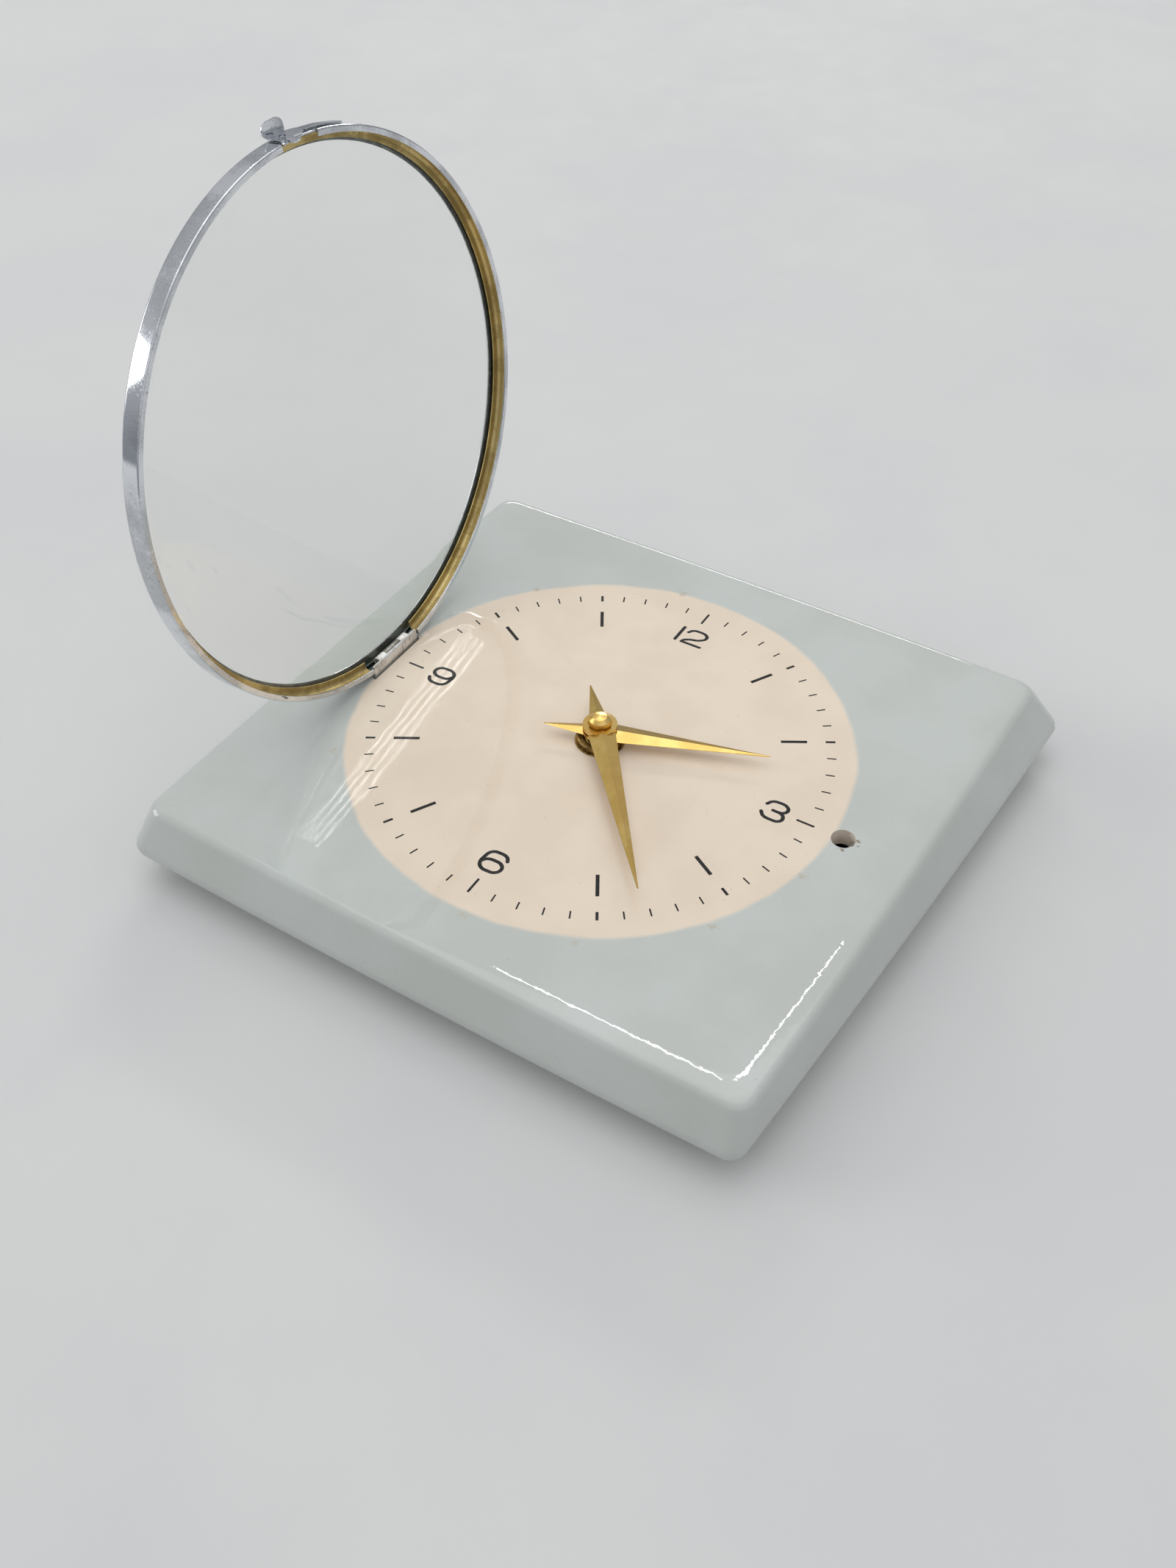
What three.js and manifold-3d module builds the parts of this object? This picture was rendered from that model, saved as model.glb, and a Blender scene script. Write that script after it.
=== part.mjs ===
// Ceramic wall clock with a hinged glass bezel, lying on its back with the bezel open.
// Millimetres: x points to 3 o'clock, y to 12 o'clock and z out of the dial.
// The origin lies on the hand axis in the plane of the back.

import * as THREE from 'three';
import { mergeVertices } from 'three/addons/utils/BufferGeometryUtils.js';
import Module from 'manifold-3d';

const wasm = await Module();
wasm.setup();

// Clearances
const SEAT_GAP = 0.05;
const PART_GAP = 0.3;
const RUN_GAP = 0.15;
const CUT_OVERRUN = 1;
const CUT_INSIDE = 7;

// Ceramic casing: each side has its own distance from the hand axis and its own turn
const CASING_DEPTH = 26;
const BELLY_THREE = 101.0;
const BELLY_TWELVE = 94.7;
const BELLY_NINE = 97.9;
const BELLY_SIX = 93.3;
const CASING_TURN = THREE.MathUtils.degToRad(-0.8);
const THREE_TURN_BELLY = THREE.MathUtils.degToRad(-4.75);
const THREE_TURN_TOP = THREE.MathUtils.degToRad(-2.4);
const SIDE_BOW = 0.9;
const BELLY_HEIGHT = 10.5;
const BELLY_ROLL = 5.5;
const BELLY_VERTEX_INSET = -0.7;
const FOOT_INSET = 9;
const TOP_INSET = 5.1;
const TOP_ROLL = 5;
const PILLOW_WIDTH = 14;
const PILLOW_DROP = 0.5;
const PILLOW_ROLL = 24;
const CORNER_RADIUS_BELLY = 6.5;
const CORNER_RADIUS_TOP = 10;
const CORNER_ROUNDNESS = [1, 1.4, 1, 1];
const RIM_WIDTH = 6;
const CAVITY_BELLY_INSET = 7.5;
const CAVITY_BELLY_HEIGHT = 8.5;
const CAVITY_TOP_INSET = 12;
const DIAL_WALL = 5.5;
const CAVITY_ROLL = 3;

// Hinge of the bezel at 9 o'clock
const HINGE_SETBACK = 2.1;
const HINGE_HEIGHT = 2.7;
const HINGE_PIN_RADIUS = 0.6;
const HINGE_SHEET = 0.5;
const BEZEL_OPEN_ANGLE = THREE.MathUtils.degToRad(95.3);
const LEAF_STANDOFF = 1.75;
const LEAF_Y_LOW = -10.7;
const LEAF_Y_HIGH = 10.3;
const LEAF_TAIL = 6.5;
const LEAF_BEND = 0.7;
const CURL_HALF_WIDTH = 7.2;
const MIDDLE_KNUCKLE_HALF_WIDTH = 3.4;
const CURL_END_ANGLE = THREE.MathUtils.degToRad(300);
const SLOT_CLEARANCE_X = 0.6;
const SLOT_CLEARANCE_Y = 0.9;

// Bezel ring: a channel of bent sheet, open towards the middle
const RING_RADIUS = 76;
const RING_SHEET = 0.5;
const RING_LIFT = 0.5;
const RING_HEIGHT = 5.7;
const RING_EDGE_ROLL = 0.9;
const LIP_WIDTH = 1.7;
const FLANGE_WIDTH = 4;
const LIP_INNER_RADIUS = RING_RADIUS - LIP_WIDTH;
const FLANGE_INNER_RADIUS = RING_RADIUS - FLANGE_WIDTH;
const HINGE_NOTCH_HALF_WIDTH = 11;
const HINGE_NOTCH_HEIGHT = 1.9;
const LIP_GAP_Y_LOW = -3;
const LIP_GAP_Y_HIGH = 10.3;
const RING_SPLIT = 0.5;
const HINGE_X = HINGE_SETBACK - RING_RADIUS;
const LEAF_UPRIGHT_X = HINGE_X + LEAF_STANDOFF;

// Glass with its flat rim and the strip that holds it in the channel
const STRIP_THICKNESS = 0.5;
const STRIP_CLEARANCE = 0.1;
const GLASS_RADIUS = RING_RADIUS - RING_SHEET - STRIP_CLEARANCE - STRIP_THICKNESS;
const GLASS_RIM_WIDTH = 3.6;
const GLASS_RIM_INNER_RADIUS = GLASS_RADIUS - GLASS_RIM_WIDTH;
const GLASS_THICKNESS = 1.6;
const GLASS_RISE = 10.5;

// Latch leaf at 3 o'clock and its catch in the casing
const LATCH_SHEET = 0.45;
const LATCH_CLEARANCE = 0.12;
const LATCH_Y_LOW = -2.2;
const LATCH_ROOT_Y = 22;
const LATCH_ROOT_WIDTH = 1.6;
const LATCH_NECK_Y = 7.6;
const LATCH_NECK_WIDTH = 2.4;
const LATCH_MARGIN = 0.4;
const LATCH_NECK_RUN = 3;
const LATCH_DROOP = 0.3;
const LATCH_BEVEL = 0.4;
const LATCH_EDGE_ROLL = 0.6;
const TAB_OVERHANG = 4.2;
const TAB_Y_LOW = -3.7;
const TAB_Y_HIGH = 4.0;
const TAB_ROOT_INSET = 0.2;
const TAB_SHOULDER = 0.8;
const TAB_CORNER = 2.2;
const PRONG_WIDTH = 2.8;
const PRONG_DEPTH = 2.6;
const PRONG_SLANT = 0.6;
const PRONG_ROLL = 0.8;
const LATCH_HOLE_RADIUS = 0.9;
const LATCH_HOLE_Y = 0.7;
const CATCH_SETBACK = 0.2;
const CATCH_X = RING_RADIUS - CATCH_SETBACK;
const CATCH_HOLE_RADIUS = 3.35;
const CATCH_SHEET = 0.4;
const CATCH_LEAF_WIDTH = 3.2;
const CATCH_LEAF_OFFSET = 1.9;
const CATCH_LEAF_X = CATCH_X + CATCH_LEAF_OFFSET;
const CATCH_TAIL = 9.7;
const CATCH_BEND = 0.8;
const CATCH_LIP = 1;
const CATCH_LIP_LEAN = 0.5;
const CATCH_RECESS = 1.2;

// Hands, their heights above the dial and their angles clockwise from 12
const TIME_HOURS = 2 + 23.4 / 60;
const HAND_SHEET = 0.45;
const HUB_RADIUS = 5;
const HUB_CUP_RADIUS = 3.6;
const HUB_SHEET = 0.5;
const HOUR_HAND_HEIGHT = 3.4;
const HOUR_HAND_REACH = 49;
const HOUR_HAND_TAIL = 16.5;
const HOUR_HAND_HALF_WIDTH = 4.15;
const HOUR_TAIL_HALF_WIDTH = 3.2;
const HOUR_HAND_RIDGE = 1.4;
const MINUTE_HAND_HEIGHT = 5.2;
const MINUTE_HAND_REACH = 62;
const MINUTE_HAND_TAIL = 18;
const MINUTE_HAND_HALF_WIDTH = 4.15;
const MINUTE_TAIL_HALF_WIDTH = 3.2;
const MINUTE_HAND_RIDGE = 1.6;
const BLADE_TIP = 0.2;

// Centre stack through the dial
const BUSH_RADIUS = 4.8;
const BUSH_BORE_RADIUS = 3.2;
const BUSH_HEAD_RADIUS = 7.5;
const BUSH_HEAD = 0.9;
const BUSH_STANDOUT = 2.0;
const DIAL_HOLE_RADIUS = 5.5;
const DIAL_WASHER_RADIUS = 7.3;
const DIAL_WASHER = 0.4;
const DIAL_NUT_RADIUS = 6.7;
const DIAL_NUT = 1.7;
const NUT_SLOT = 1.4;
const HOUR_PIPE_RADIUS = 2.9;
const HOUR_SEAT_RADIUS = 2.55;
const ARBOR_RADIUS = 1.8;
const ARBOR_THREAD_RADIUS = 1.3;
const TRAIN_ARBOR_RADIUS = 1.1;
const HAND_WASHER_RADIUS = 3.0;
const HAND_WASHER = 0.3;
const HAND_NUT_RADIUS = 3.2;
const HAND_NUT = 2.2;
const HAND_NUT_CONE = 1.2;
const HAND_NUT_SHOULDER = 0.3;
const HAND_NUT_TAPER = 0.72;
const KNURL_COUNT = 20;
const KNURL_DEPTH = 0.22;

// Movement case and covers
const GASKET = 0.8;
const GASKET_RADIUS = 13;
const BRACKET_SHEET = 0.9;
const BRACKET_HALF_WIDTH = 8;
const BRACKET_FOOT_Y = -10;
const BRACKET_KNEE_Y = 50;
const BRACKET_TOP_Y = 68;
const BRACKET_LEVEL = 2.6;
const KEYHOLE_RADIUS = 3.5;
const KEYHOLE_SLOT_RADIUS = 1.9;
const KEYHOLE_SLOT_LENGTH = 6;
const CASE_HALF_WIDTH = 32;
const CASE_Y_LOW = -38;
const CASE_Y_HIGH = 36;
const CASE_CORNER = 4;
const CASE_WALL = 1.6;
const CASE_FRONT_WALL = 1.8;
const COVER_SHEET = 1.5;
const BAY_WALL_Y = -17.5;
const SCREW_BOSS_RADIUS = 2.6;
const SCREW_RADIUS = 1.0;
const SCREW_HEAD_RADIUS = 1.9;
const SCREW_LENGTH = 7;
const SCREW_HEAD = 1.0;
const SCREW_INSET = 4.4;
const SCREW_SLOT = 0.5;

// Battery and its contacts
const BATTERY_RADIUS = 7.1;
const BATTERY_LENGTH = 49;
const BATTERY_NUB_RADIUS = 2.75;
const BATTERY_NUB = 1.3;
const CONTACT_SHEET = 0.35;
const CONTACT_WIDTH = 8;
const CONTACT_BEND = 0.8;
const CONTACT_SPRING = 1.2;
const CONTACT_FOOT = 1;
const CONTACT_BELOW = 3;
const CONTACT_ABOVE = 4;
const BATTERY_EDGE = 0.8;

// Circuit board with its transistor
const BOARD_SHEET = 1.2;
const BOARD_WIDTH = 4;
const BOARD_WALL_GAP = 0.9;
const BOARD_Y_LOW = -10;
const BOARD_Y_HIGH = 20;
const BOARD_CORNER = 0.8;
const TRANSISTOR_RADIUS = 1.9;
const TRANSISTOR_HEIGHT = 3.75;
const TRANSISTOR_Y = 4;

// Going train and motion work
const BRIDGE_LEVEL = 3.6;
const BRIDGE_SHEET = 1.2;
const PILLAR_LEVEL = 12.2;
const PILLAR_SHEET = 1.0;
const PILLAR_RADIUS = 1.8;
const PLATE_CORNERS = [[-22, -13, 4], [26, -13, 4], [26, 31, 4], [-24, 31, 4], [-24, -3, 4]];
const PILLAR_SPOTS = [[-18, -9], [22, -9], [21, 27]];
const PIVOT_RADIUS = 0.5;
const PIVOT_GAP = 0.15;
const WHEEL_SHEET = 0.8;
const MOTION_MODULE = 0.75;
const HOUR_MODULE = 0.6;
const TRAIN_MODULE = 0.6;
const TOOTH_ADDENDUM = 0.95;
const TOOTH_DEDENDUM = 1.15;
const TOOTH_HALF_ROOT = 0.36;
const CANNON_TEETH = 8;
const MINUTE_WHEEL_TEETH = 24;
const MINUTE_PINION_TEETH = 8;
const HOUR_WHEEL_TEETH = 32;
const SETTING_TEETH = 12;
const CENTRE_TEETH = 32;
const THIRD_PINION_TEETH = 8;
const THIRD_TEETH = 32;
const INDEX_PINION_TEETH = 8;
const INDEX_TEETH = 15;
const INDEX_RADIUS = 4.2;
const MINUTE_WHEEL_DIRECTION = THREE.MathUtils.degToRad(150);
const SETTING_DIRECTION = THREE.MathUtils.degToRad(120);
const THIRD_DIRECTION = THREE.MathUtils.degToRad(20);
const INDEX_DIRECTION = THREE.MathUtils.degToRad(75);
const SLEEVE_WALL = 0.35;
const CENTRE_WHEEL_LEVEL = 5.5;
const THIRD_WHEEL_LEVEL = 8.2;
const INDEX_WHEEL_LEVEL = 11.0;
const MINUTE_WHEEL_LEVEL = 13.5;
const HOUR_WHEEL_LEVEL = 14.8;
const KNOB_RADIUS = 6.5;
const KNOB_BACK = 0.4;
const KNOB_HEIGHT = 2.6;
const KNOB_GRIPS = 14;
const KNOB_CLEARANCE = 1;

// Balance with its spring, coil and regulator
const BALANCE_X = 3.5;
const BALANCE_Y = 24.2;
const BALANCE_RADIUS = 9.6;
const BALANCE_RIM = 2.2;
const BALANCE_SHEET = 0.6;
const BALANCE_LOWER_LEVEL = 6.3;
const BALANCE_UPPER_LEVEL = 9.9;
const STAFF_RADIUS = 0.8;
const MAGNET_RADIUS = 2.0;
const MAGNET = 0.7;
const COIL_ORBIT = 6.6;
const COIL_RADIUS = 3.6;
const COIL_DIRECTION = THREE.MathUtils.degToRad(165);
const COIL_HEIGHT = 1.2;
const HAIRSPRING_TURNS = 3;
const HAIRSPRING_INNER = 1.5;
const HAIRSPRING_OUTER = 4.5;
const HAIRSPRING_SHEET = 0.25;
const HAIRSPRING_HEIGHT = 0.5;
const HAIRSPRING_STUD_RADIUS = 0.5;
const REGULATOR_LENGTH = 7.5;
const REGULATOR_SHEET = 0.5;
const REGULATOR_RING_RADIUS = 2.6;
const REGULATOR_HALF_WIDTH = 0.9;
const REGULATOR_TAB = 1;
const REGULATOR_SWING = THREE.MathUtils.degToRad(20);
const REGULATOR_SPARE = 0.2;

// Derived heights
const DIAL_LEVEL = CASING_DEPTH;
const CAVITY_TOP = DIAL_LEVEL - DIAL_WALL;
const GASKET_LEVEL = CAVITY_TOP - SEAT_GAP - GASKET;
const BRACKET_TOP = GASKET_LEVEL - SEAT_GAP;
const CASE_TOP = BRACKET_TOP - BRACKET_SHEET - SEAT_GAP;
const CASE_CEILING = CASE_TOP - CASE_FRONT_WALL;
const CASE_FLOOR = COVER_SHEET + SEAT_GAP;
const HINGE_LEVEL = DIAL_LEVEL + HINGE_HEIGHT;
const HOUR_HAND_LEVEL = DIAL_LEVEL + HOUR_HAND_HEIGHT;
const MINUTE_HAND_LEVEL = DIAL_LEVEL + MINUTE_HAND_HEIGHT;
const PILLAR_TOP = PILLAR_LEVEL + PILLAR_SHEET;
const BRIDGE_TOP = BRIDGE_LEVEL + BRIDGE_SHEET;

// Materials
function finish(colour, roughness, metalness) {
  return new THREE.MeshStandardMaterial({ color: colour, roughness, metalness });
}
const glaze = () => finish(0xc3ccc8, 0.12, 0);
const chrome = () => finish(0xc9ccd0, 0.12, 1);
const brass = () => finish(0xc09a50, 0.28, 1);
const darkBrass = () => finish(0x8a7440, 0.4, 1);
const steel = () => finish(0xa7a9ab, 0.35, 1);
const aluminium = () => finish(0xb4b4b2, 0.4, 1);
const plastic = () => finish(0x2b2c2d, 0.5, 0);
const ivoryPlastic = () => finish(0xd9d3c3, 0.45, 0);
const rubber = () => finish(0x1c1c1c, 0.85, 0);
const clearGlass = () => {
  const material = finish(0xe6eeea, 0.05, 0);
  material.transparent = true;
  material.opacity = 0.3;
  return material;
};

// Closed meshes
function signedVolume(position, index) {
  const a = new THREE.Vector3();
  const b = new THREE.Vector3();
  const c = new THREE.Vector3();
  let volume = 0;
  for (let i = 0; i < index.length; i += 3) {
    a.fromBufferAttribute(position, index[i]);
    b.fromBufferAttribute(position, index[i + 1]);
    c.fromBufferAttribute(position, index[i + 2]);
    volume += a.dot(b.cross(c)) / 6;
  }
  return volume;
}

function closedMesh(source) {
  const bare = source.clone();
  bare.deleteAttribute('normal');
  bare.deleteAttribute('uv');
  const merged = mergeVertices(bare, 1e-4);
  const index = [];
  for (let i = 0; i < merged.index.count; i += 3) {
    const [a, b, c] = [0, 1, 2].map((k) => merged.index.getX(i + k));
    if (a !== b && b !== c && c !== a) {
      index.push(a, b, c);
    }
  }
  if (signedVolume(merged.attributes.position, index) < 0) {
    index.reverse();
  }
  merged.setIndex(index);
  return merged;
}

function manifoldOf(geometry) {
  const mesh = closedMesh(geometry);
  return new wasm.Manifold(new wasm.Mesh({
    numProp: 3,
    vertProperties: new Float32Array(mesh.attributes.position.array),
    triVerts: new Uint32Array(mesh.index.array),
  }));
}

function geometryOf(manifold) {
  const { vertProperties, triVerts } = manifold.getMesh();
  const geometry = new THREE.BufferGeometry();
  geometry.setAttribute('position', new THREE.BufferAttribute(new Float32Array(vertProperties), 3));
  geometry.setIndex([...triVerts]);
  return geometry;
}

const cut = (body, ...tools) => geometryOf(
  tools.reduce((left, tool) => left.subtract(manifoldOf(tool)), manifoldOf(body)),
);
const fuse = (body, ...others) => geometryOf(
  others.reduce((sum, other) => sum.add(manifoldOf(other)), manifoldOf(body)),
);
const overlap = (first, second) => geometryOf(manifoldOf(first).intersect(manifoldOf(second)));

// Basic forms
function revolve(profile, segments) {
  const points = profile.map(([radius, z]) => new THREE.Vector2(radius, z));
  return new THREE.LatheGeometry(points, segments).rotateX(Math.PI / 2);
}

const disc = (radius, low, high, segments = 20) =>
  revolve([[0, low], [radius, low], [radius, high], [0, high]], segments);

const collar = (outer, inner, low, high, segments = 24) =>
  revolve([[inner, low], [outer, low], [outer, high], [inner, high], [inner, low]], segments);

const slab = (shape, low, high) =>
  new THREE.ExtrudeGeometry(shape, { depth: high - low, bevelEnabled: false }).translate(0, 0, low);

function block(xLow, xHigh, yLow, yHigh, zLow, zHigh) {
  return new THREE.BoxGeometry(xHigh - xLow, yHigh - yLow, zHigh - zLow)
    .translate((xLow + xHigh) / 2, (yLow + yHigh) / 2, (zLow + zHigh) / 2);
}

// Corners written as [x, y, radius] become points with each corner rounded off
function roundedPoints(corners, steps, closed = true) {
  const points = [];
  const count = corners.length;
  corners.forEach(([x, y, radius = 0], i) => {
    const here = new THREE.Vector2(x, y);
    const atEnd = !closed && (i === 0 || i === count - 1);
    if (atEnd || radius === 0) {
      points.push(here);
      return;
    }
    const [px, py] = corners[(i + count - 1) % count];
    const [nx, ny] = corners[(i + 1) % count];
    const back = new THREE.Vector2(px - x, py - y).normalize();
    const onward = new THREE.Vector2(nx - x, ny - y).normalize();
    const half = Math.acos(THREE.MathUtils.clamp(back.dot(onward), -1, 1)) / 2;
    const middle = back.clone().add(onward).normalize().multiplyScalar(radius / Math.sin(half));
    const centre = here.clone().add(middle);
    const start = here.clone().addScaledVector(back, radius / Math.tan(half)).sub(centre);
    const turn = Math.PI - 2 * half;
    const sense = back.cross(onward) < 0 ? 1 : -1;
    for (let k = 0; k <= steps; k += 1) {
      points.push(start.clone().rotateAround(new THREE.Vector2(), sense * turn * (k / steps)).add(centre));
    }
  });
  return points;
}

const roundedShape = (corners, steps = 4) => new THREE.Shape(roundedPoints(corners, steps));

const roundedBox = (xLow, xHigh, yLow, yHigh, radius) => roundedShape([
  [xLow, yLow, radius], [xHigh, yLow, radius], [xHigh, yHigh, radius], [xLow, yHigh, radius],
]);

// Bent sheet: a centre line given a thickness, then drawn out to a width
function sheetShape(line, thickness) {
  const half = thickness / 2;
  const left = [];
  const right = [];
  line.forEach((point, i) => {
    const before = line[Math.max(i - 1, 0)];
    const after = line[Math.min(i + 1, line.length - 1)];
    const into = point.clone().sub(before).normalize();
    const outOf = after.clone().sub(point).normalize();
    const along = into.add(outOf).normalize();
    const step = i === 0 || i === line.length - 1 ? null : outOf;
    const stretch = step ? 1 / Math.max(along.dot(step), 0.5) : 1;
    const side = new THREE.Vector2(-along.y, along.x).multiplyScalar(half * stretch);
    left.push(point.clone().add(side));
    right.unshift(point.clone().sub(side));
  });
  return new THREE.Shape([...left, ...right]);
}

// The sheet's line lies in the x z plane and its width runs along y
function sheetAcrossY(line, thickness, yLow, yHigh) {
  const width = yHigh - yLow;
  return new THREE.ExtrudeGeometry(sheetShape(line, thickness), { depth: width, bevelEnabled: false })
    .rotateX(Math.PI / 2)
    .translate(0, yHigh, 0);
}

// The sheet's line lies in the y z plane and its width runs along x
const sheetAcrossX = (line, thickness, xLow, xHigh) =>
  sheetAcrossY(line, thickness, -xHigh, -xLow).rotateZ(Math.PI / 2);

// Plates drawn in the y z plane and thickened along x
function plateFacingX(corners, xLow, xHigh) {
  return new THREE.ExtrudeGeometry(roundedShape(corners), { depth: xHigh - xLow, bevelEnabled: false })
    .rotateX(Math.PI / 2)
    .rotateZ(Math.PI / 2)
    .translate(xLow, 0, 0);
}

// Rings of points, one above the other, skinned into a closed body
function loft(rings) {
  const count = rings[0].points.length;
  const vertices = rings.flatMap(({ points, z }) => points.flatMap(({ x, y }) => [x, y, z]));
  const index = [];
  for (let level = 0; level + 1 < rings.length; level += 1) {
    for (let i = 0; i < count; i += 1) {
      const a = level * count + i;
      const b = level * count + ((i + 1) % count);
      index.push(a, b, b + count, a, b + count, a + count);
    }
  }
  const caps = [{ ring: rings[0], flip: true }, { ring: rings[rings.length - 1], flip: false }];
  caps.forEach(({ ring, flip }) => {
    const centre = vertices.length / 3;
    vertices.push(0, 0, ring.z);
    const first = rings.indexOf(ring) * count;
    for (let i = 0; i < count; i += 1) {
      const a = first + i;
      const b = first + ((i + 1) % count);
      index.push(...(flip ? [centre, b, a] : [centre, a, b]));
    }
  });
  const geometry = new THREE.BufferGeometry();
  geometry.setAttribute('position', new THREE.Float32BufferAttribute(vertices, 3));
  geometry.setIndex(index);
  return geometry;
}

// The clock and the swinging bezel, drawn closed and then turned open about its hinge
const clock = new THREE.Group();
const bezelTurn = new THREE.Group();
bezelTurn.position.set(HINGE_X, 0, HINGE_LEVEL);
bezelTurn.rotation.y = -BEZEL_OPEN_ANGLE;
const bezel = new THREE.Group();
bezel.position.set(-HINGE_X, 0, -HINGE_LEVEL);
bezelTurn.add(bezel);
clock.add(bezelTurn);

function add(name, geometry, material, parent = clock) {
  const mesh = new THREE.Mesh(closedMesh(geometry), material);
  mesh.name = name;
  parent.add(mesh);
  return mesh;
}

// Casing outline at one level, from the side lines set in by one distance
const ARC_STEPS = 4;
const SIDE_STEPS = 6;

function casingOutline(inset, z) {
  const share = THREE.MathUtils.clamp((z - BELLY_HEIGHT) / (CASING_DEPTH - BELLY_HEIGHT), 0, 1);
  const radius = THREE.MathUtils.lerp(CORNER_RADIUS_BELLY, CORNER_RADIUS_TOP, share);
  const threeTurn = THREE.MathUtils.lerp(THREE_TURN_BELLY, THREE_TURN_TOP, share);
  const sides = [
    { distance: BELLY_THREE - inset, turn: threeTurn },
    { distance: BELLY_TWELVE - inset, turn: CASING_TURN },
    { distance: BELLY_NINE - inset, turn: CASING_TURN },
    { distance: BELLY_SIX - inset, turn: CASING_TURN },
  ].map(({ distance, turn }, i) => {
    const angle = i * (Math.PI / 2) + turn;
    return { distance, normal: new THREE.Vector2(Math.cos(angle), Math.sin(angle)) };
  });
  const corners = sides.map((side, i) => {
    const next = sides[(i + 1) % 4];
    const scale = 1 / side.normal.cross(next.normal);
    const x = (side.distance * next.normal.y - next.distance * side.normal.y) * scale;
    const y = (next.distance * side.normal.x - side.distance * next.normal.x) * scale;
    return [x, y, radius * CORNER_ROUNDNESS[i]];
  });
  const arcs = roundedPoints(corners, ARC_STEPS);
  const perArc = ARC_STEPS + 1;
  const points = [];
  for (let corner = 0; corner < 4; corner += 1) {
    points.push(...arcs.slice(corner * perArc, (corner + 1) * perArc));
    const from = arcs[(corner + 1) * perArc - 1];
    const to = arcs[((corner + 1) % 4) * perArc];
    const { normal } = sides[(corner + 1) % 4];
    for (let k = 1; k < SIDE_STEPS; k += 1) {
      const t = k / SIDE_STEPS;
      const bow = 4 * SIDE_BOW * t * (1 - t);
      points.push(from.clone().lerp(to, t).addScaledVector(normal, bow));
    }
  }
  return points;
}

const casingLoft = (profile) =>
  loft(profile.map(({ x: inset, y: z }) => ({ points: casingOutline(inset, z), z })));

// Ceramic casing with its hollow back, centre hole, hinge slot and catch hole
const leafFaceX = LEAF_UPRIGHT_X + HINGE_SHEET / 2;
const leafBackX = LEAF_UPRIGHT_X - HINGE_SHEET / 2;

function ceramicCasing() {
  const outer = roundedPoints([
    [FOOT_INSET, 0],
    [BELLY_VERTEX_INSET, BELLY_HEIGHT, BELLY_ROLL],
    [TOP_INSET, CASING_DEPTH - PILLOW_DROP, TOP_ROLL],
    [TOP_INSET + PILLOW_WIDTH, CASING_DEPTH, PILLOW_ROLL],
    [TOP_INSET + 2 * PILLOW_WIDTH, CASING_DEPTH],
  ], 3, false);
  const cavity = roundedPoints([
    [FOOT_INSET + RIM_WIDTH, -CUT_OVERRUN],
    [FOOT_INSET + RIM_WIDTH, 0],
    [CAVITY_BELLY_INSET, CAVITY_BELLY_HEIGHT],
    [CAVITY_TOP_INSET, CAVITY_TOP, CAVITY_ROLL],
    [CAVITY_TOP_INSET + 2 * CAVITY_ROLL, CAVITY_TOP],
  ], 2, false);
  const slotX = SLOT_CLEARANCE_X;
  const slotY = SLOT_CLEARANCE_Y;
  return cut(
    casingLoft(outer),
    casingLoft(cavity),
    disc(DIAL_HOLE_RADIUS, CAVITY_TOP - CUT_OVERRUN, DIAL_LEVEL + CUT_OVERRUN),
    disc(CATCH_HOLE_RADIUS, CAVITY_TOP - CUT_OVERRUN, DIAL_LEVEL + CUT_OVERRUN, 24).translate(CATCH_X, 0, 0),
    block(
      leafBackX - slotX, leafFaceX + slotX,
      LEAF_Y_LOW - slotY, LEAF_Y_HIGH + slotY,
      CAVITY_TOP - CUT_OVERRUN, DIAL_LEVEL + CUT_OVERRUN,
    ),
  );
}
add('ceramic_casing', ceramicCasing(), glaze());

// Fixed hinge leaf: tail under the dial wall, upright through the slot, curls round the pin
const curlRadius = HINGE_PIN_RADIUS + RUN_GAP / 2 + HINGE_SHEET / 2;
const curlOuterRadius = curlRadius + HINGE_SHEET / 2;

function curlPoints(fromAngle, toAngle, steps) {
  const points = [];
  for (let k = 0; k <= steps; k += 1) {
    const angle = THREE.MathUtils.lerp(fromAngle, toAngle, k / steps);
    points.push(new THREE.Vector2(
      HINGE_X + curlRadius * Math.cos(angle),
      HINGE_LEVEL + curlRadius * Math.sin(angle),
    ));
  }
  return points;
}

function fixedHingeLeaf() {
  const tailLevel = CAVITY_TOP - SEAT_GAP - HINGE_SHEET / 2;
  const line = [
    ...roundedPoints([
      [LEAF_UPRIGHT_X + LEAF_TAIL, tailLevel],
      [LEAF_UPRIGHT_X, tailLevel, LEAF_BEND],
      [LEAF_UPRIGHT_X, HINGE_LEVEL + curlRadius, LEAF_BEND],
      [HINGE_X, HINGE_LEVEL + curlRadius],
    ], 3, false).slice(0, -1),
    ...curlPoints(Math.PI / 2, CURL_END_ANGLE, 9),
  ];
  const leaf = sheetAcrossY(line, HINGE_SHEET, LEAF_Y_LOW, LEAF_Y_HIGH);
  const high = HINGE_LEVEL + curlOuterRadius + CUT_OVERRUN;
  const low = HINGE_LEVEL - curlOuterRadius - CUT_OVERRUN;
  const left = HINGE_X - curlOuterRadius - CUT_OVERRUN;
  const middle = MIDDLE_KNUCKLE_HALF_WIDTH + RUN_GAP;
  const clearX = HINGE_X + curlOuterRadius + RUN_GAP;
  return cut(
    leaf,
    block(left, clearX, -middle, middle, low, high),
    block(left, clearX, LEAF_Y_LOW - CUT_OVERRUN, -CURL_HALF_WIDTH, low, high),
    block(left, clearX, CURL_HALF_WIDTH, LEAF_Y_HIGH + CUT_OVERRUN, low, high),
  );
}
add('hinge_leaf_fixed', fixedHingeLeaf(), aluminium());

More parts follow.
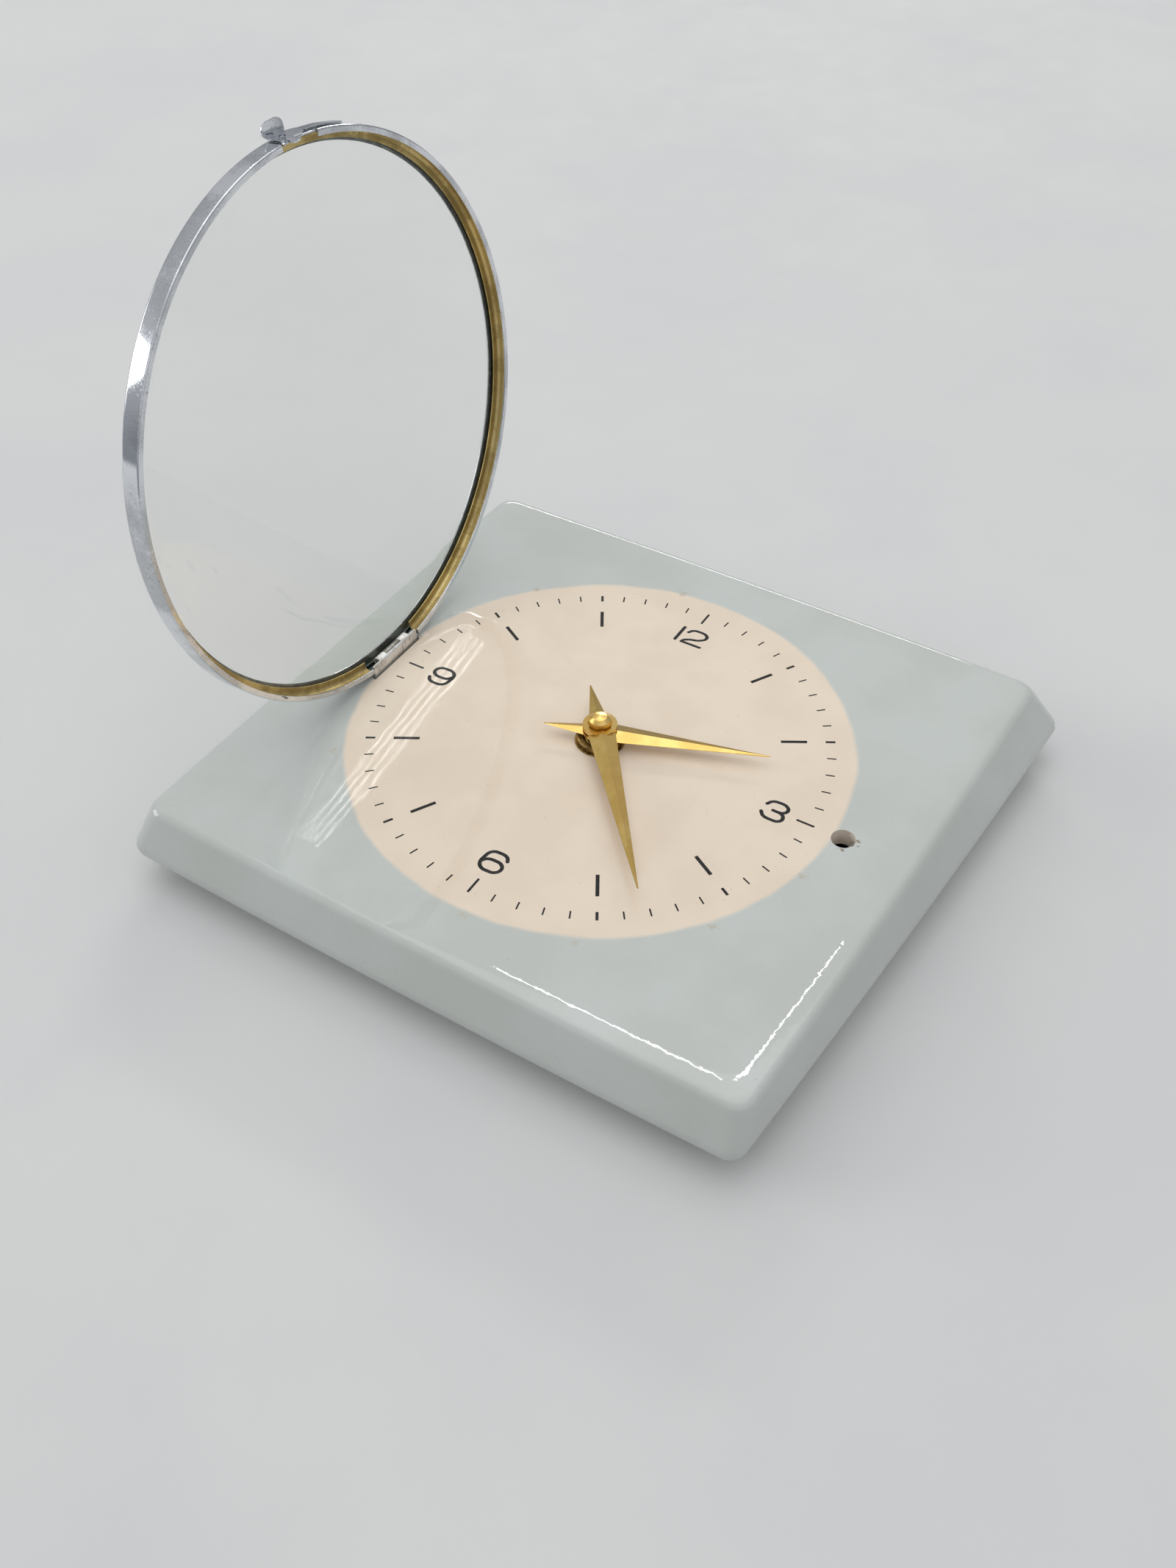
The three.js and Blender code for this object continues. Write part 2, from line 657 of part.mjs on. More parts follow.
const hingePin = new THREE.CylinderGeometry(HINGE_PIN_RADIUS, HINGE_PIN_RADIUS, 2 * CURL_HALF_WIDTH, 12)
  .translate(HINGE_X, 0, HINGE_LEVEL);
add('hinge_pin', hingePin, steel());

// Bezel ring with its notch over the hinge, its split and its lip gap at the latch
const ringLow = DIAL_LEVEL + RING_LIFT;
const ringHigh = ringLow + RING_HEIGHT;
const wallInner = RING_RADIUS - RING_SHEET;
const RING_SEGMENTS = 72;

function bezelRing() {
  const roll = RING_EDGE_ROLL;
  const outline = roundedPoints([
    [LIP_INNER_RADIUS, ringLow],
    [RING_RADIUS, ringLow, roll / 2],
    [RING_RADIUS, ringHigh, roll],
    [FLANGE_INNER_RADIUS, ringHigh],
    [FLANGE_INNER_RADIUS, ringHigh - RING_SHEET],
    [wallInner, ringHigh - RING_SHEET],
    [wallInner, ringLow + RING_SHEET],
    [LIP_INNER_RADIUS, ringLow + RING_SHEET],
  ], 2);
  const profile = [...outline, outline[0]].map(({ x, y }) => [x, y]);
  const far = RING_RADIUS + CUT_OVERRUN;
  return cut(
    revolve(profile, RING_SEGMENTS),
    block(
      -far, CUT_INSIDE - LIP_INNER_RADIUS,
      -HINGE_NOTCH_HALF_WIDTH, HINGE_NOTCH_HALF_WIDTH,
      ringLow - CUT_OVERRUN, DIAL_LEVEL + HINGE_NOTCH_HEIGHT,
    ),
    block(
      LIP_INNER_RADIUS - CUT_INSIDE, wallInner,
      LIP_GAP_Y_LOW, LIP_GAP_Y_HIGH,
      ringLow - CUT_OVERRUN, ringLow + RING_SHEET + SEAT_GAP,
    ),
    block(
      FLANGE_INNER_RADIUS - CUT_INSIDE, far,
      LIP_GAP_Y_LOW, LIP_GAP_Y_LOW + RING_SPLIT,
      ringLow - CUT_OVERRUN, ringHigh + CUT_OVERRUN,
    ),
  );
}
add('bezel_ring', bezelRing(), chrome(), bezel);

// Domed glass: flat rim under the flange, outer and inner bowls of one rise
const glassTop = ringHigh - RING_SHEET - SEAT_GAP;
const glassRimLow = glassTop - GLASS_THICKNESS;

function domeProfile(rimRadius, rimLevel, rise, steps) {
  const bowl = (rimRadius * rimRadius + rise * rise) / (2 * rise);
  const half = Math.asin(rimRadius / bowl);
  const points = [];
  for (let k = 0; k <= steps; k += 1) {
    const angle = half * (1 - k / steps);
    points.push([bowl * Math.sin(angle), rimLevel + bowl * Math.cos(angle) - (bowl - rise)]);
  }
  return points;
}

function domedGlass() {
  const outer = domeProfile(GLASS_RIM_INNER_RADIUS, glassTop, GLASS_RISE, 6);
  const inner = domeProfile(GLASS_RIM_INNER_RADIUS, glassRimLow, GLASS_RISE, 6).reverse();
  const profile = [
    ...inner,
    [GLASS_RADIUS, glassRimLow],
    [GLASS_RADIUS, glassTop],
    ...outer,
  ];
  return revolve(profile, 40);
}
add('bezel_glass', domedGlass(), clearGlass(), bezel);

// Brass strip sprung into the channel behind the glass, open at the hinge
function glassStrip() {
  const outer = wallInner - STRIP_CLEARANCE;
  const low = ringLow + RING_SHEET + SEAT_GAP;
  const strip = collar(outer, outer - STRIP_THICKNESS, low, glassRimLow - SEAT_GAP, RING_SEGMENTS);
  const half = HINGE_NOTCH_HALF_WIDTH + PART_GAP;
  return cut(strip, block(-RING_RADIUS, 0, -half, half, low - CUT_OVERRUN, glassRimLow + CUT_OVERRUN));
}
add('glass_strip', glassStrip(), darkBrass(), bezel);

// Moving hinge leaf: middle knuckle on the pin with its pad against the ring wall
function movingHingeLeaf() {
  const half = MIDDLE_KNUCKLE_HALF_WIDTH;
  const line = [
    new THREE.Vector2(HINGE_X - curlRadius, glassRimLow - PART_GAP),
    ...curlPoints(Math.PI, 2 * Math.PI + Math.PI / 4, 9),
  ];
  const wallX = -Math.sqrt(wallInner ** 2 - half ** 2);
  const padLow = HINGE_LEVEL;
  const pad = block(
    wallX + RUN_GAP, HINGE_X - curlRadius + HINGE_SHEET / 4,
    -half, half, padLow, glassRimLow - PART_GAP,
  );
  return fuse(sheetAcrossY(line, HINGE_SHEET, -half, half), pad);
}
add('hinge_leaf_moving', movingHingeLeaf(), steel(), bezel);

// Latch leaf: sprung plate outside the ring with thumb tab, prong and tapered root
const latchInner = RING_RADIUS + LATCH_CLEARANCE;
const latchOuter = latchInner + LATCH_SHEET;
const tabReach = RING_RADIUS + TAB_OVERHANG;

function latchLeaf() {
  const low = ringLow + LATCH_MARGIN;
  const high = ringHigh - LATCH_MARGIN;
  const middle = (low + high) / 2;
  const halfProng = PRONG_WIDTH / 2;
  const outline = [
    [LATCH_Y_LOW, low + LATCH_BEVEL, LATCH_EDGE_ROLL / 2],
    [-halfProng, low, LATCH_EDGE_ROLL / 3],
    [-halfProng, DIAL_LEVEL - PRONG_DEPTH, PRONG_ROLL],
    [halfProng, DIAL_LEVEL - PRONG_DEPTH + PRONG_SLANT, PRONG_ROLL],
    [halfProng, low, LATCH_EDGE_ROLL],
    [LATCH_NECK_Y - LATCH_NECK_RUN, low - LATCH_DROOP, LATCH_EDGE_ROLL],
    [LATCH_NECK_Y, middle - LATCH_NECK_WIDTH / 2, 1],
    [LATCH_ROOT_Y, middle - LATCH_ROOT_WIDTH / 2, LATCH_EDGE_ROLL],
    [LATCH_ROOT_Y, middle + LATCH_ROOT_WIDTH / 2, LATCH_EDGE_ROLL],
    [LATCH_NECK_Y, middle + LATCH_NECK_WIDTH / 2, 1],
    [TAB_Y_HIGH, high, LATCH_EDGE_ROLL],
    [LATCH_Y_LOW, high, LATCH_EDGE_ROLL],
  ];
  const shell = collar(latchOuter, latchInner, DIAL_LEVEL - 2 * PRONG_DEPTH, ringHigh + CUT_OVERRUN, RING_SEGMENTS);
  const face = overlap(shell, plateFacingX(outline, latchInner - CUT_INSIDE, latchOuter + CUT_OVERRUN));
  const tab = slab(roundedShape([
    [latchInner, LATCH_Y_LOW + TAB_ROOT_INSET],
    [latchOuter + TAB_SHOULDER, TAB_Y_LOW, TAB_SHOULDER],
    [tabReach, TAB_Y_LOW, TAB_CORNER],
    [tabReach, TAB_Y_HIGH, TAB_CORNER],
    [latchOuter + TAB_SHOULDER, TAB_Y_HIGH, TAB_SHOULDER],
    [latchInner, TAB_Y_HIGH - TAB_ROOT_INSET],
  ]), high - LATCH_SHEET, high);
  const hole = new THREE.CylinderGeometry(LATCH_HOLE_RADIUS, LATCH_HOLE_RADIUS, 4, 12)
    .rotateZ(Math.PI / 2)
    .translate(latchInner, LATCH_HOLE_Y, middle);
  return cut(fuse(face, tab), hole);
}
add('latch_leaf', latchLeaf(), chrome(), bezel);

// Catch clip: tail under the dial wall and a springy leaf standing in the catch hole
function catchClip() {
  const level = CAVITY_TOP - SEAT_GAP - CATCH_SHEET / 2;
  const line = roundedPoints([
    [CATCH_LEAF_X - CATCH_TAIL, level],
    [CATCH_LEAF_X, level, CATCH_BEND],
    [CATCH_LEAF_X, DIAL_LEVEL - CATCH_RECESS - CATCH_LIP, CATCH_BEND],
    [CATCH_LEAF_X + CATCH_LIP_LEAN, DIAL_LEVEL - CATCH_RECESS],
  ], 3, false);
  return sheetAcrossY(line, CATCH_SHEET, -CATCH_LEAF_WIDTH / 2, CATCH_LEAF_WIDTH / 2);
}
add('catch_clip', catchClip(), steel());

// Centre stack: threaded bush from inside the case, gasket, bracket, washer and round nut
const bushTop = DIAL_LEVEL + BUSH_STANDOUT;
const bushHeadTop = CASE_CEILING - SEAT_GAP;
const centreBush = revolve([
  [BUSH_BORE_RADIUS, bushHeadTop - BUSH_HEAD],
  [BUSH_HEAD_RADIUS, bushHeadTop - BUSH_HEAD],
  [BUSH_HEAD_RADIUS, bushHeadTop],
  [BUSH_RADIUS, bushHeadTop],
  [BUSH_RADIUS, bushTop - 0.4],
  [BUSH_RADIUS - 0.4, bushTop],
  [BUSH_BORE_RADIUS, bushTop],
  [BUSH_BORE_RADIUS, bushHeadTop - BUSH_HEAD],
], 24);
add('centre_bush', centreBush, darkBrass());

const washerLow = DIAL_LEVEL + SEAT_GAP;
const nutLow = washerLow + DIAL_WASHER + SEAT_GAP;
const nutBore = BUSH_RADIUS + RUN_GAP;
add('dial_washer', collar(DIAL_WASHER_RADIUS, nutBore, washerLow, washerLow + DIAL_WASHER), darkBrass());

function dialNut() {
  const top = nutLow + DIAL_NUT;
  const body = revolve([
    [nutBore, nutLow],
    [DIAL_NUT_RADIUS, nutLow],
    [DIAL_NUT_RADIUS, top - 0.4],
    [DIAL_NUT_RADIUS - 0.4, top],
    [nutBore, top],
    [nutBore, nutLow],
  ], 24);
  const half = NUT_SLOT / 2;
  const slot = (side) => block(
    side * DIAL_NUT_RADIUS - half, side * DIAL_NUT_RADIUS + half,
    -half, half, top - half, top + CUT_OVERRUN,
  );
  return cut(body, slot(-1), slot(1));
}
add('dial_nut', dialNut(), darkBrass());
add(
  'rubber_gasket',
  collar(GASKET_RADIUS, DIAL_HOLE_RADIUS, GASKET_LEVEL, GASKET_LEVEL + GASKET),
  rubber(),
);

// Hanging bracket: clamped strip with a knee down to the wall and a keyhole near 12 o'clock
function hangingBracket() {
  const top = BRACKET_TOP - BRACKET_SHEET / 2;
  const line = roundedPoints([
    [BRACKET_FOOT_Y, top],
    [BRACKET_KNEE_Y, top, 1.5],
    [BRACKET_KNEE_Y + 3, BRACKET_LEVEL + BRACKET_SHEET / 2, 1.5],
    [BRACKET_TOP_Y, BRACKET_LEVEL + BRACKET_SHEET / 2],
  ], 3, false);
  const strip = sheetAcrossX(line, BRACKET_SHEET, -BRACKET_HALF_WIDTH, BRACKET_HALF_WIDTH);
  const keyY = (BRACKET_KNEE_Y + BRACKET_TOP_Y) / 2 - 1;
  const low = BRACKET_LEVEL - CUT_OVERRUN;
  const high = BRACKET_LEVEL + BRACKET_SHEET + CUT_OVERRUN;
  return cut(
    strip,
    disc(nutBore, top - BRACKET_SHEET, top + BRACKET_SHEET, 24),
    disc(KEYHOLE_RADIUS, low, high, 16).translate(0, keyY, 0),
    slab(roundedBox(
      -KEYHOLE_SLOT_RADIUS, KEYHOLE_SLOT_RADIUS,
      keyY, keyY + KEYHOLE_SLOT_LENGTH + KEYHOLE_SLOT_RADIUS, KEYHOLE_SLOT_RADIUS - SEAT_GAP,
    ), low, high),
  );
}
add('hanging_bracket', hangingBracket(), steel());

// Movement case: moulded tray with a battery bay and four screw bosses
const screwX = CASE_HALF_WIDTH - SCREW_INSET;
const screwSpots = [
  [-screwX, CASE_Y_HIGH - SCREW_INSET],
  [screwX, CASE_Y_HIGH - SCREW_INSET],
  [-screwX, BAY_WALL_Y + SCREW_INSET],
  [screwX, BAY_WALL_Y + SCREW_INSET],
];
const innerX = CASE_HALF_WIDTH - CASE_WALL;

function movementCase() {
  const width = CASE_HALF_WIDTH;
  const body = slab(roundedBox(-width, width, CASE_Y_LOW, CASE_Y_HIGH, CASE_CORNER), CASE_FLOOR, CASE_TOP);
  const low = CASE_FLOOR - CUT_OVERRUN;
  const works = slab(roundedBox(
    -innerX, innerX, BAY_WALL_Y + CASE_WALL / 2, CASE_Y_HIGH - CASE_WALL, CASE_CORNER - CASE_WALL,
  ), low, CASE_CEILING);
  const bay = slab(roundedBox(
    -innerX, innerX, CASE_Y_LOW + CASE_WALL, BAY_WALL_Y - CASE_WALL / 2, CASE_CORNER - CASE_WALL,
  ), low, CASE_CEILING);
  const hole = disc(nutBore, CASE_CEILING - CUT_OVERRUN, CASE_TOP + CUT_OVERRUN, 24);
  const bosses = screwSpots.map(([x, y]) =>
    disc(SCREW_BOSS_RADIUS, CASE_FLOOR, CASE_CEILING + CUT_OVERRUN / 2, 12).translate(x, y, 0));
  const bores = screwSpots.map(([x, y]) =>
    disc(SCREW_RADIUS + RUN_GAP, CASE_FLOOR - CUT_OVERRUN, CASE_FLOOR + SCREW_LENGTH, 10).translate(x, y, 0));
  return cut(fuse(cut(body, works, bay, hole), ...bosses), ...bores);
}
add('movement_case', movementCase(), plastic());

// Wheel places, each found from the one that it meshes with
function placeFrom(origin, distance, direction) {
  return new THREE.Vector2(
    origin.x + distance * Math.cos(direction),
    origin.y + distance * Math.sin(direction),
  );
}
const centreDistance = (module, first, second) => (module * (first + second)) / 2;
const centrePlace = new THREE.Vector2(0, 0);
const minuteWheelPlace = placeFrom(
  centrePlace, centreDistance(MOTION_MODULE, CANNON_TEETH, MINUTE_WHEEL_TEETH), MINUTE_WHEEL_DIRECTION,
);
const settingPlace = placeFrom(
  minuteWheelPlace, centreDistance(MOTION_MODULE, MINUTE_WHEEL_TEETH, SETTING_TEETH), SETTING_DIRECTION,
);
const thirdPlace = placeFrom(
  centrePlace, centreDistance(TRAIN_MODULE, CENTRE_TEETH, THIRD_PINION_TEETH), THIRD_DIRECTION,
);
const indexPlace = placeFrom(
  thirdPlace, centreDistance(TRAIN_MODULE, THIRD_TEETH, INDEX_PINION_TEETH), INDEX_DIRECTION,
);
const balancePlace = new THREE.Vector2(BALANCE_X, BALANCE_Y);

const at = (geometry, place) => geometry.translate(place.x, place.y, 0);

// Tooth phase of a wheel that meshes with another whose own phase is known
function meshPhase(phase, teeth, otherTeeth, direction) {
  return direction + Math.PI + Math.PI / otherTeeth - (phase - direction) * (teeth / otherTeeth);
}

function gearOutline(teeth, module, phase) {
  const pitch = (module * teeth) / 2;
  const tip = pitch + TOOTH_ADDENDUM * module;
  const root = pitch - TOOTH_DEDENDUM * module;
  const step = (2 * Math.PI) / teeth;
  const points = [];
  for (let i = 0; i < teeth; i += 1) {
    const middle = phase + i * step;
    [[-TOOTH_HALF_ROOT, root], [0, tip], [TOOTH_HALF_ROOT, root]].forEach(([share, radius]) => {
      const angle = middle + share * step;
      points.push(new THREE.Vector2(radius * Math.cos(angle), radius * Math.sin(angle)));
    });
  }
  return new THREE.Shape(points);
}

const gear = (teeth, module, phase, low, high) => slab(gearOutline(teeth, module, phase), low, high);

// Phases run from the cannon pinion outwards, and from the centre wheel to the index pinion
const cannonPhase = MINUTE_WHEEL_DIRECTION;
const minuteWheelPhase = meshPhase(cannonPhase, CANNON_TEETH, MINUTE_WHEEL_TEETH, MINUTE_WHEEL_DIRECTION);
const settingPhase = meshPhase(minuteWheelPhase, MINUTE_WHEEL_TEETH, SETTING_TEETH, SETTING_DIRECTION);
const pinionDirection = MINUTE_WHEEL_DIRECTION + Math.PI;
const hourWheelPhase = meshPhase(pinionDirection, MINUTE_PINION_TEETH, HOUR_WHEEL_TEETH, pinionDirection);
const centrePhase = THIRD_DIRECTION;
const thirdPinionPhase = meshPhase(centrePhase, CENTRE_TEETH, THIRD_PINION_TEETH, THIRD_DIRECTION);
const thirdWheelPhase = INDEX_DIRECTION;
const indexPhase = meshPhase(thirdWheelPhase, THIRD_TEETH, INDEX_PINION_TEETH, INDEX_DIRECTION);

// Pillar plate and bridge: brass plates with pivot holes, the bridge on three pillars
const staffHole = () => at(disc(PIVOT_RADIUS + PIVOT_GAP, 0, PILLAR_TOP + CUT_OVERRUN, 8), balancePlace);
const pivotHole = (place) => at(disc(PIVOT_RADIUS + PIVOT_GAP, 0, PILLAR_TOP + CUT_OVERRUN, 8), place);
const arborHole = () => disc(TRAIN_ARBOR_RADIUS + RUN_GAP, 0, PILLAR_TOP + CUT_OVERRUN, 10);
const settingHole = () => at(disc(TRAIN_ARBOR_RADIUS + RUN_GAP, 0, PILLAR_TOP + CUT_OVERRUN, 10), settingPlace);

function pillarPlate() {
  const plate = slab(roundedShape(PLATE_CORNERS), PILLAR_LEVEL, PILLAR_TOP);
  const post = at(disc(PIVOT_RADIUS * 2, PILLAR_TOP - PILLAR_SHEET / 2, CASE_CEILING - PART_GAP, 10), minuteWheelPlace);
  const standoffs = PILLAR_SPOTS.map(([x, y]) =>
    disc(PILLAR_RADIUS, PILLAR_TOP - PILLAR_SHEET / 2, CASE_CEILING - SEAT_GAP, 8).translate(x, y, 0));
  return fuse(
    cut(plate, arborHole(), settingHole(), pivotHole(thirdPlace), pivotHole(indexPlace), staffHole()),
    post,
    ...standoffs,
  );
}
add('pillar_plate', pillarPlate(), brass());

function trainBridge() {
  const plate = slab(roundedShape(PLATE_CORNERS), BRIDGE_LEVEL, BRIDGE_TOP);
  const pillars = PILLAR_SPOTS.map(([x, y]) =>
    disc(PILLAR_RADIUS, BRIDGE_TOP - BRIDGE_SHEET / 2, PILLAR_LEVEL - SEAT_GAP, 8).translate(x, y, 0));
  return fuse(
    cut(plate, arborHole(), settingHole(), pivotHole(thirdPlace), pivotHole(indexPlace), staffHole()),
    ...pillars,
  );
}
add('train_bridge', trainBridge(), brass());

// Minute arbor with its cannon pinion, shoulder and thread for the hand nut
const arborShoulder = MINUTE_HAND_LEVEL - SEAT_GAP;
const washerLevel = MINUTE_HAND_LEVEL + HUB_SHEET + SEAT_GAP;
const handNutLevel = washerLevel + HAND_WASHER + SEAT_GAP;
const arborTop = handNutLevel + HAND_NUT;
const minuteArbor = fuse(
  revolve([
    [0, BRIDGE_LEVEL - 0.6],
    [TRAIN_ARBOR_RADIUS, BRIDGE_LEVEL - 0.6],
    [TRAIN_ARBOR_RADIUS, PILLAR_TOP + RUN_GAP],
    [ARBOR_RADIUS, PILLAR_TOP + RUN_GAP],
    [ARBOR_RADIUS, arborShoulder],
    [ARBOR_THREAD_RADIUS, arborShoulder],
    [ARBOR_THREAD_RADIUS, arborTop],
    [0, arborTop],
  ], 12),
  gear(CANNON_TEETH, MOTION_MODULE, cannonPhase, MINUTE_WHEEL_LEVEL, MINUTE_WHEEL_LEVEL + WHEEL_SHEET),
);
add('minute_arbor', minuteArbor, steel());

// Hour wheel with its pipe round the minute arbor
const pipeBore = ARBOR_RADIUS + RUN_GAP;
const pipeTop = arborShoulder - PART_GAP;
const hourSeat = HOUR_HAND_LEVEL - SEAT_GAP;
const hourPipe = revolve([
  [pipeBore, HOUR_WHEEL_LEVEL],
  [HOUR_PIPE_RADIUS, HOUR_WHEEL_LEVEL],
  [HOUR_PIPE_RADIUS, hourSeat],
  [HOUR_SEAT_RADIUS, hourSeat],
  [HOUR_SEAT_RADIUS, pipeTop],
  [pipeBore, pipeTop],
  [pipeBore, HOUR_WHEEL_LEVEL],
], 16);
const hourWheelHigh = bushHeadTop - BUSH_HEAD - RUN_GAP;
const hourWheel = cut(
  fuse(hourPipe, gear(HOUR_WHEEL_TEETH, HOUR_MODULE, hourWheelPhase, HOUR_WHEEL_LEVEL, hourWheelHigh)),
  disc(pipeBore, HOUR_WHEEL_LEVEL - CUT_OVERRUN, pipeTop + CUT_OVERRUN, 16),
);
add('hour_wheel', hourWheel, brass());

// Motion work: minute wheel with its pinion on the post, driven by the cannon pinion
const minuteWheel = at(cut(
  fuse(
    gear(MINUTE_WHEEL_TEETH, MOTION_MODULE, minuteWheelPhase, MINUTE_WHEEL_LEVEL, MINUTE_WHEEL_LEVEL + WHEEL_SHEET),
    gear(MINUTE_PINION_TEETH, HOUR_MODULE, pinionDirection, MINUTE_WHEEL_LEVEL + WHEEL_SHEET / 2, hourWheelHigh),
  ),
  disc(PIVOT_RADIUS * 2 + PIVOT_GAP, MINUTE_WHEEL_LEVEL - CUT_OVERRUN, hourWheelHigh + CUT_OVERRUN, 12),
), minuteWheelPlace);
add('minute_wheel', minuteWheel, brass());

// Setting wheel on its long arbor, with the knob sunk in the back cover
const settingArbor = at(fuse(
  disc(TRAIN_ARBOR_RADIUS, KNOB_BACK + KNOB_HEIGHT / 2, MINUTE_WHEEL_LEVEL + WHEEL_SHEET, 10),
  gear(SETTING_TEETH, MOTION_MODULE, settingPhase, MINUTE_WHEEL_LEVEL, MINUTE_WHEEL_LEVEL + WHEEL_SHEET),
), settingPlace);
add('setting_arbor', settingArbor, steel());

function settingKnob() {
  const grips = [];
  for (let i = 0; i < KNOB_GRIPS; i += 1) {
    const angle = (i / KNOB_GRIPS) * 2 * Math.PI;
    const wave = (offset, radius) => new THREE.Vector2(
      radius * Math.cos(angle + offset), radius * Math.sin(angle + offset),
    );
    const step = (2 * Math.PI) / KNOB_GRIPS;
    grips.push(wave(0, KNOB_RADIUS), wave(step * 0.35, KNOB_RADIUS), wave(step * 0.65, KNOB_RADIUS - 0.4));
  }
  const body = slab(new THREE.Shape(grips), KNOB_BACK, KNOB_BACK + KNOB_HEIGHT);
  const bore = disc(
    TRAIN_ARBOR_RADIUS + SEAT_GAP, KNOB_BACK + KNOB_HEIGHT / 2 - SEAT_GAP, KNOB_BACK + 2 * KNOB_HEIGHT, 16,
  );
  return at(cut(body, bore), settingPlace);
}
add('setting_knob', settingKnob(), ivoryPlastic());

// Going train: centre wheel loose on the arbor, third wheel and index wheel
const sleeveBore = TRAIN_ARBOR_RADIUS + RUN_GAP;
const centreWheel = cut(
  fuse(
    gear(CENTRE_TEETH, TRAIN_MODULE, centrePhase, CENTRE_WHEEL_LEVEL, CENTRE_WHEEL_LEVEL + WHEEL_SHEET),
    disc(sleeveBore + SLEEVE_WALL, BRIDGE_TOP + RUN_GAP, PILLAR_LEVEL - RUN_GAP, 12),
  ),
  disc(sleeveBore, BRIDGE_TOP - CUT_OVERRUN, PILLAR_LEVEL + CUT_OVERRUN, 12),
);
add('centre_wheel', centreWheel, brass());

function pivotedArbor(radius) {
  return revolve([
    [0, BRIDGE_LEVEL],
    [PIVOT_RADIUS, BRIDGE_LEVEL],
    [PIVOT_RADIUS, BRIDGE_TOP + RUN_GAP],
    [radius, BRIDGE_TOP + RUN_GAP],
    [radius, PILLAR_LEVEL - RUN_GAP],
    [PIVOT_RADIUS, PILLAR_LEVEL - RUN_GAP],
    [PIVOT_RADIUS, PILLAR_TOP],
    [0, PILLAR_TOP],
  ], 8);
}

const thirdWheel = at(fuse(
  pivotedArbor(STAFF_RADIUS),
  gear(
    THIRD_PINION_TEETH, TRAIN_MODULE, thirdPinionPhase,
    CENTRE_WHEEL_LEVEL - RUN_GAP, CENTRE_WHEEL_LEVEL + WHEEL_SHEET + RUN_GAP,
  ),
  gear(THIRD_TEETH, TRAIN_MODULE, thirdWheelPhase, THIRD_WHEEL_LEVEL, THIRD_WHEEL_LEVEL + WHEEL_SHEET),
), thirdPlace);
add('third_wheel', thirdWheel, brass());

function indexOutline() {
  const points = [];
  const step = (2 * Math.PI) / INDEX_TEETH;
  for (let i = 0; i < INDEX_TEETH; i += 1) {
    const angle = i * step;
    [[0, INDEX_RADIUS], [step * 0.55, INDEX_RADIUS - 1]].forEach(([offset, radius]) => {
      points.push(new THREE.Vector2(radius * Math.cos(angle + offset), radius * Math.sin(angle + offset)));
    });
  }
  return new THREE.Shape(points);
}

const indexWheel = at(fuse(
  pivotedArbor(STAFF_RADIUS),
  gear(
    INDEX_PINION_TEETH, TRAIN_MODULE, indexPhase,
    THIRD_WHEEL_LEVEL - RUN_GAP, THIRD_WHEEL_LEVEL + WHEEL_SHEET + RUN_GAP,
  ),
  slab(indexOutline(), INDEX_WHEEL_LEVEL, INDEX_WHEEL_LEVEL + WHEEL_SHEET / 2),
), indexPlace);
add('index_wheel', indexWheel, brass());

// Balance: two spoked discs on one staff, a magnet on each and the coil between them
function balanceDisc(level) {
  const rim = collar(BALANCE_RADIUS, BALANCE_RADIUS - BALANCE_RIM, level, level + BALANCE_SHEET, 20);
  const spoke = block(
    -(BALANCE_RADIUS - BALANCE_RIM / 2), BALANCE_RADIUS - BALANCE_RIM / 2,
    -MAGNET_RADIUS - RUN_GAP, MAGNET_RADIUS + RUN_GAP, level, level + BALANCE_SHEET,
  ).rotateZ(COIL_DIRECTION);
  return fuse(rim, spoke);
}
const balanceWheel = at(fuse(
  pivotedArbor(STAFF_RADIUS),
  balanceDisc(BALANCE_LOWER_LEVEL),
  balanceDisc(BALANCE_UPPER_LEVEL),
), balancePlace);
add('balance_wheel', balanceWheel, brass());

const coilPlace = placeFrom(balancePlace, COIL_ORBIT, COIL_DIRECTION);
const lowerMagnetLevel = BALANCE_LOWER_LEVEL + BALANCE_SHEET + SEAT_GAP;
const upperMagnetLevel = BALANCE_UPPER_LEVEL - SEAT_GAP - MAGNET;
add('magnet_lower', at(disc(MAGNET_RADIUS, lowerMagnetLevel, lowerMagnetLevel + MAGNET, 16), coilPlace), steel());
add('magnet_upper', at(disc(MAGNET_RADIUS, upperMagnetLevel, upperMagnetLevel + MAGNET, 16), coilPlace), steel());

// Coil on a moulded arm that reaches in from the side of the case
function driveCoil() {
  const middle = (lowerMagnetLevel + MAGNET + upperMagnetLevel) / 2;
  const low = middle - COIL_HEIGHT / 2;
  const high = middle + COIL_HEIGHT / 2;
  const winding = at(collar(COIL_RADIUS, STAFF_RADIUS, low, high, 16), coilPlace);
  const armEnd = -innerX + SEAT_GAP;
  const arm = block(
    armEnd, coilPlace.x - COIL_RADIUS + 0.6,
    coilPlace.y - 1.6, coilPlace.y + 1.6, low, high,
  );
  return fuse(winding, arm);
}
add('drive_coil', driveCoil(), finish(0x9c5a33, 0.4, 0.6));

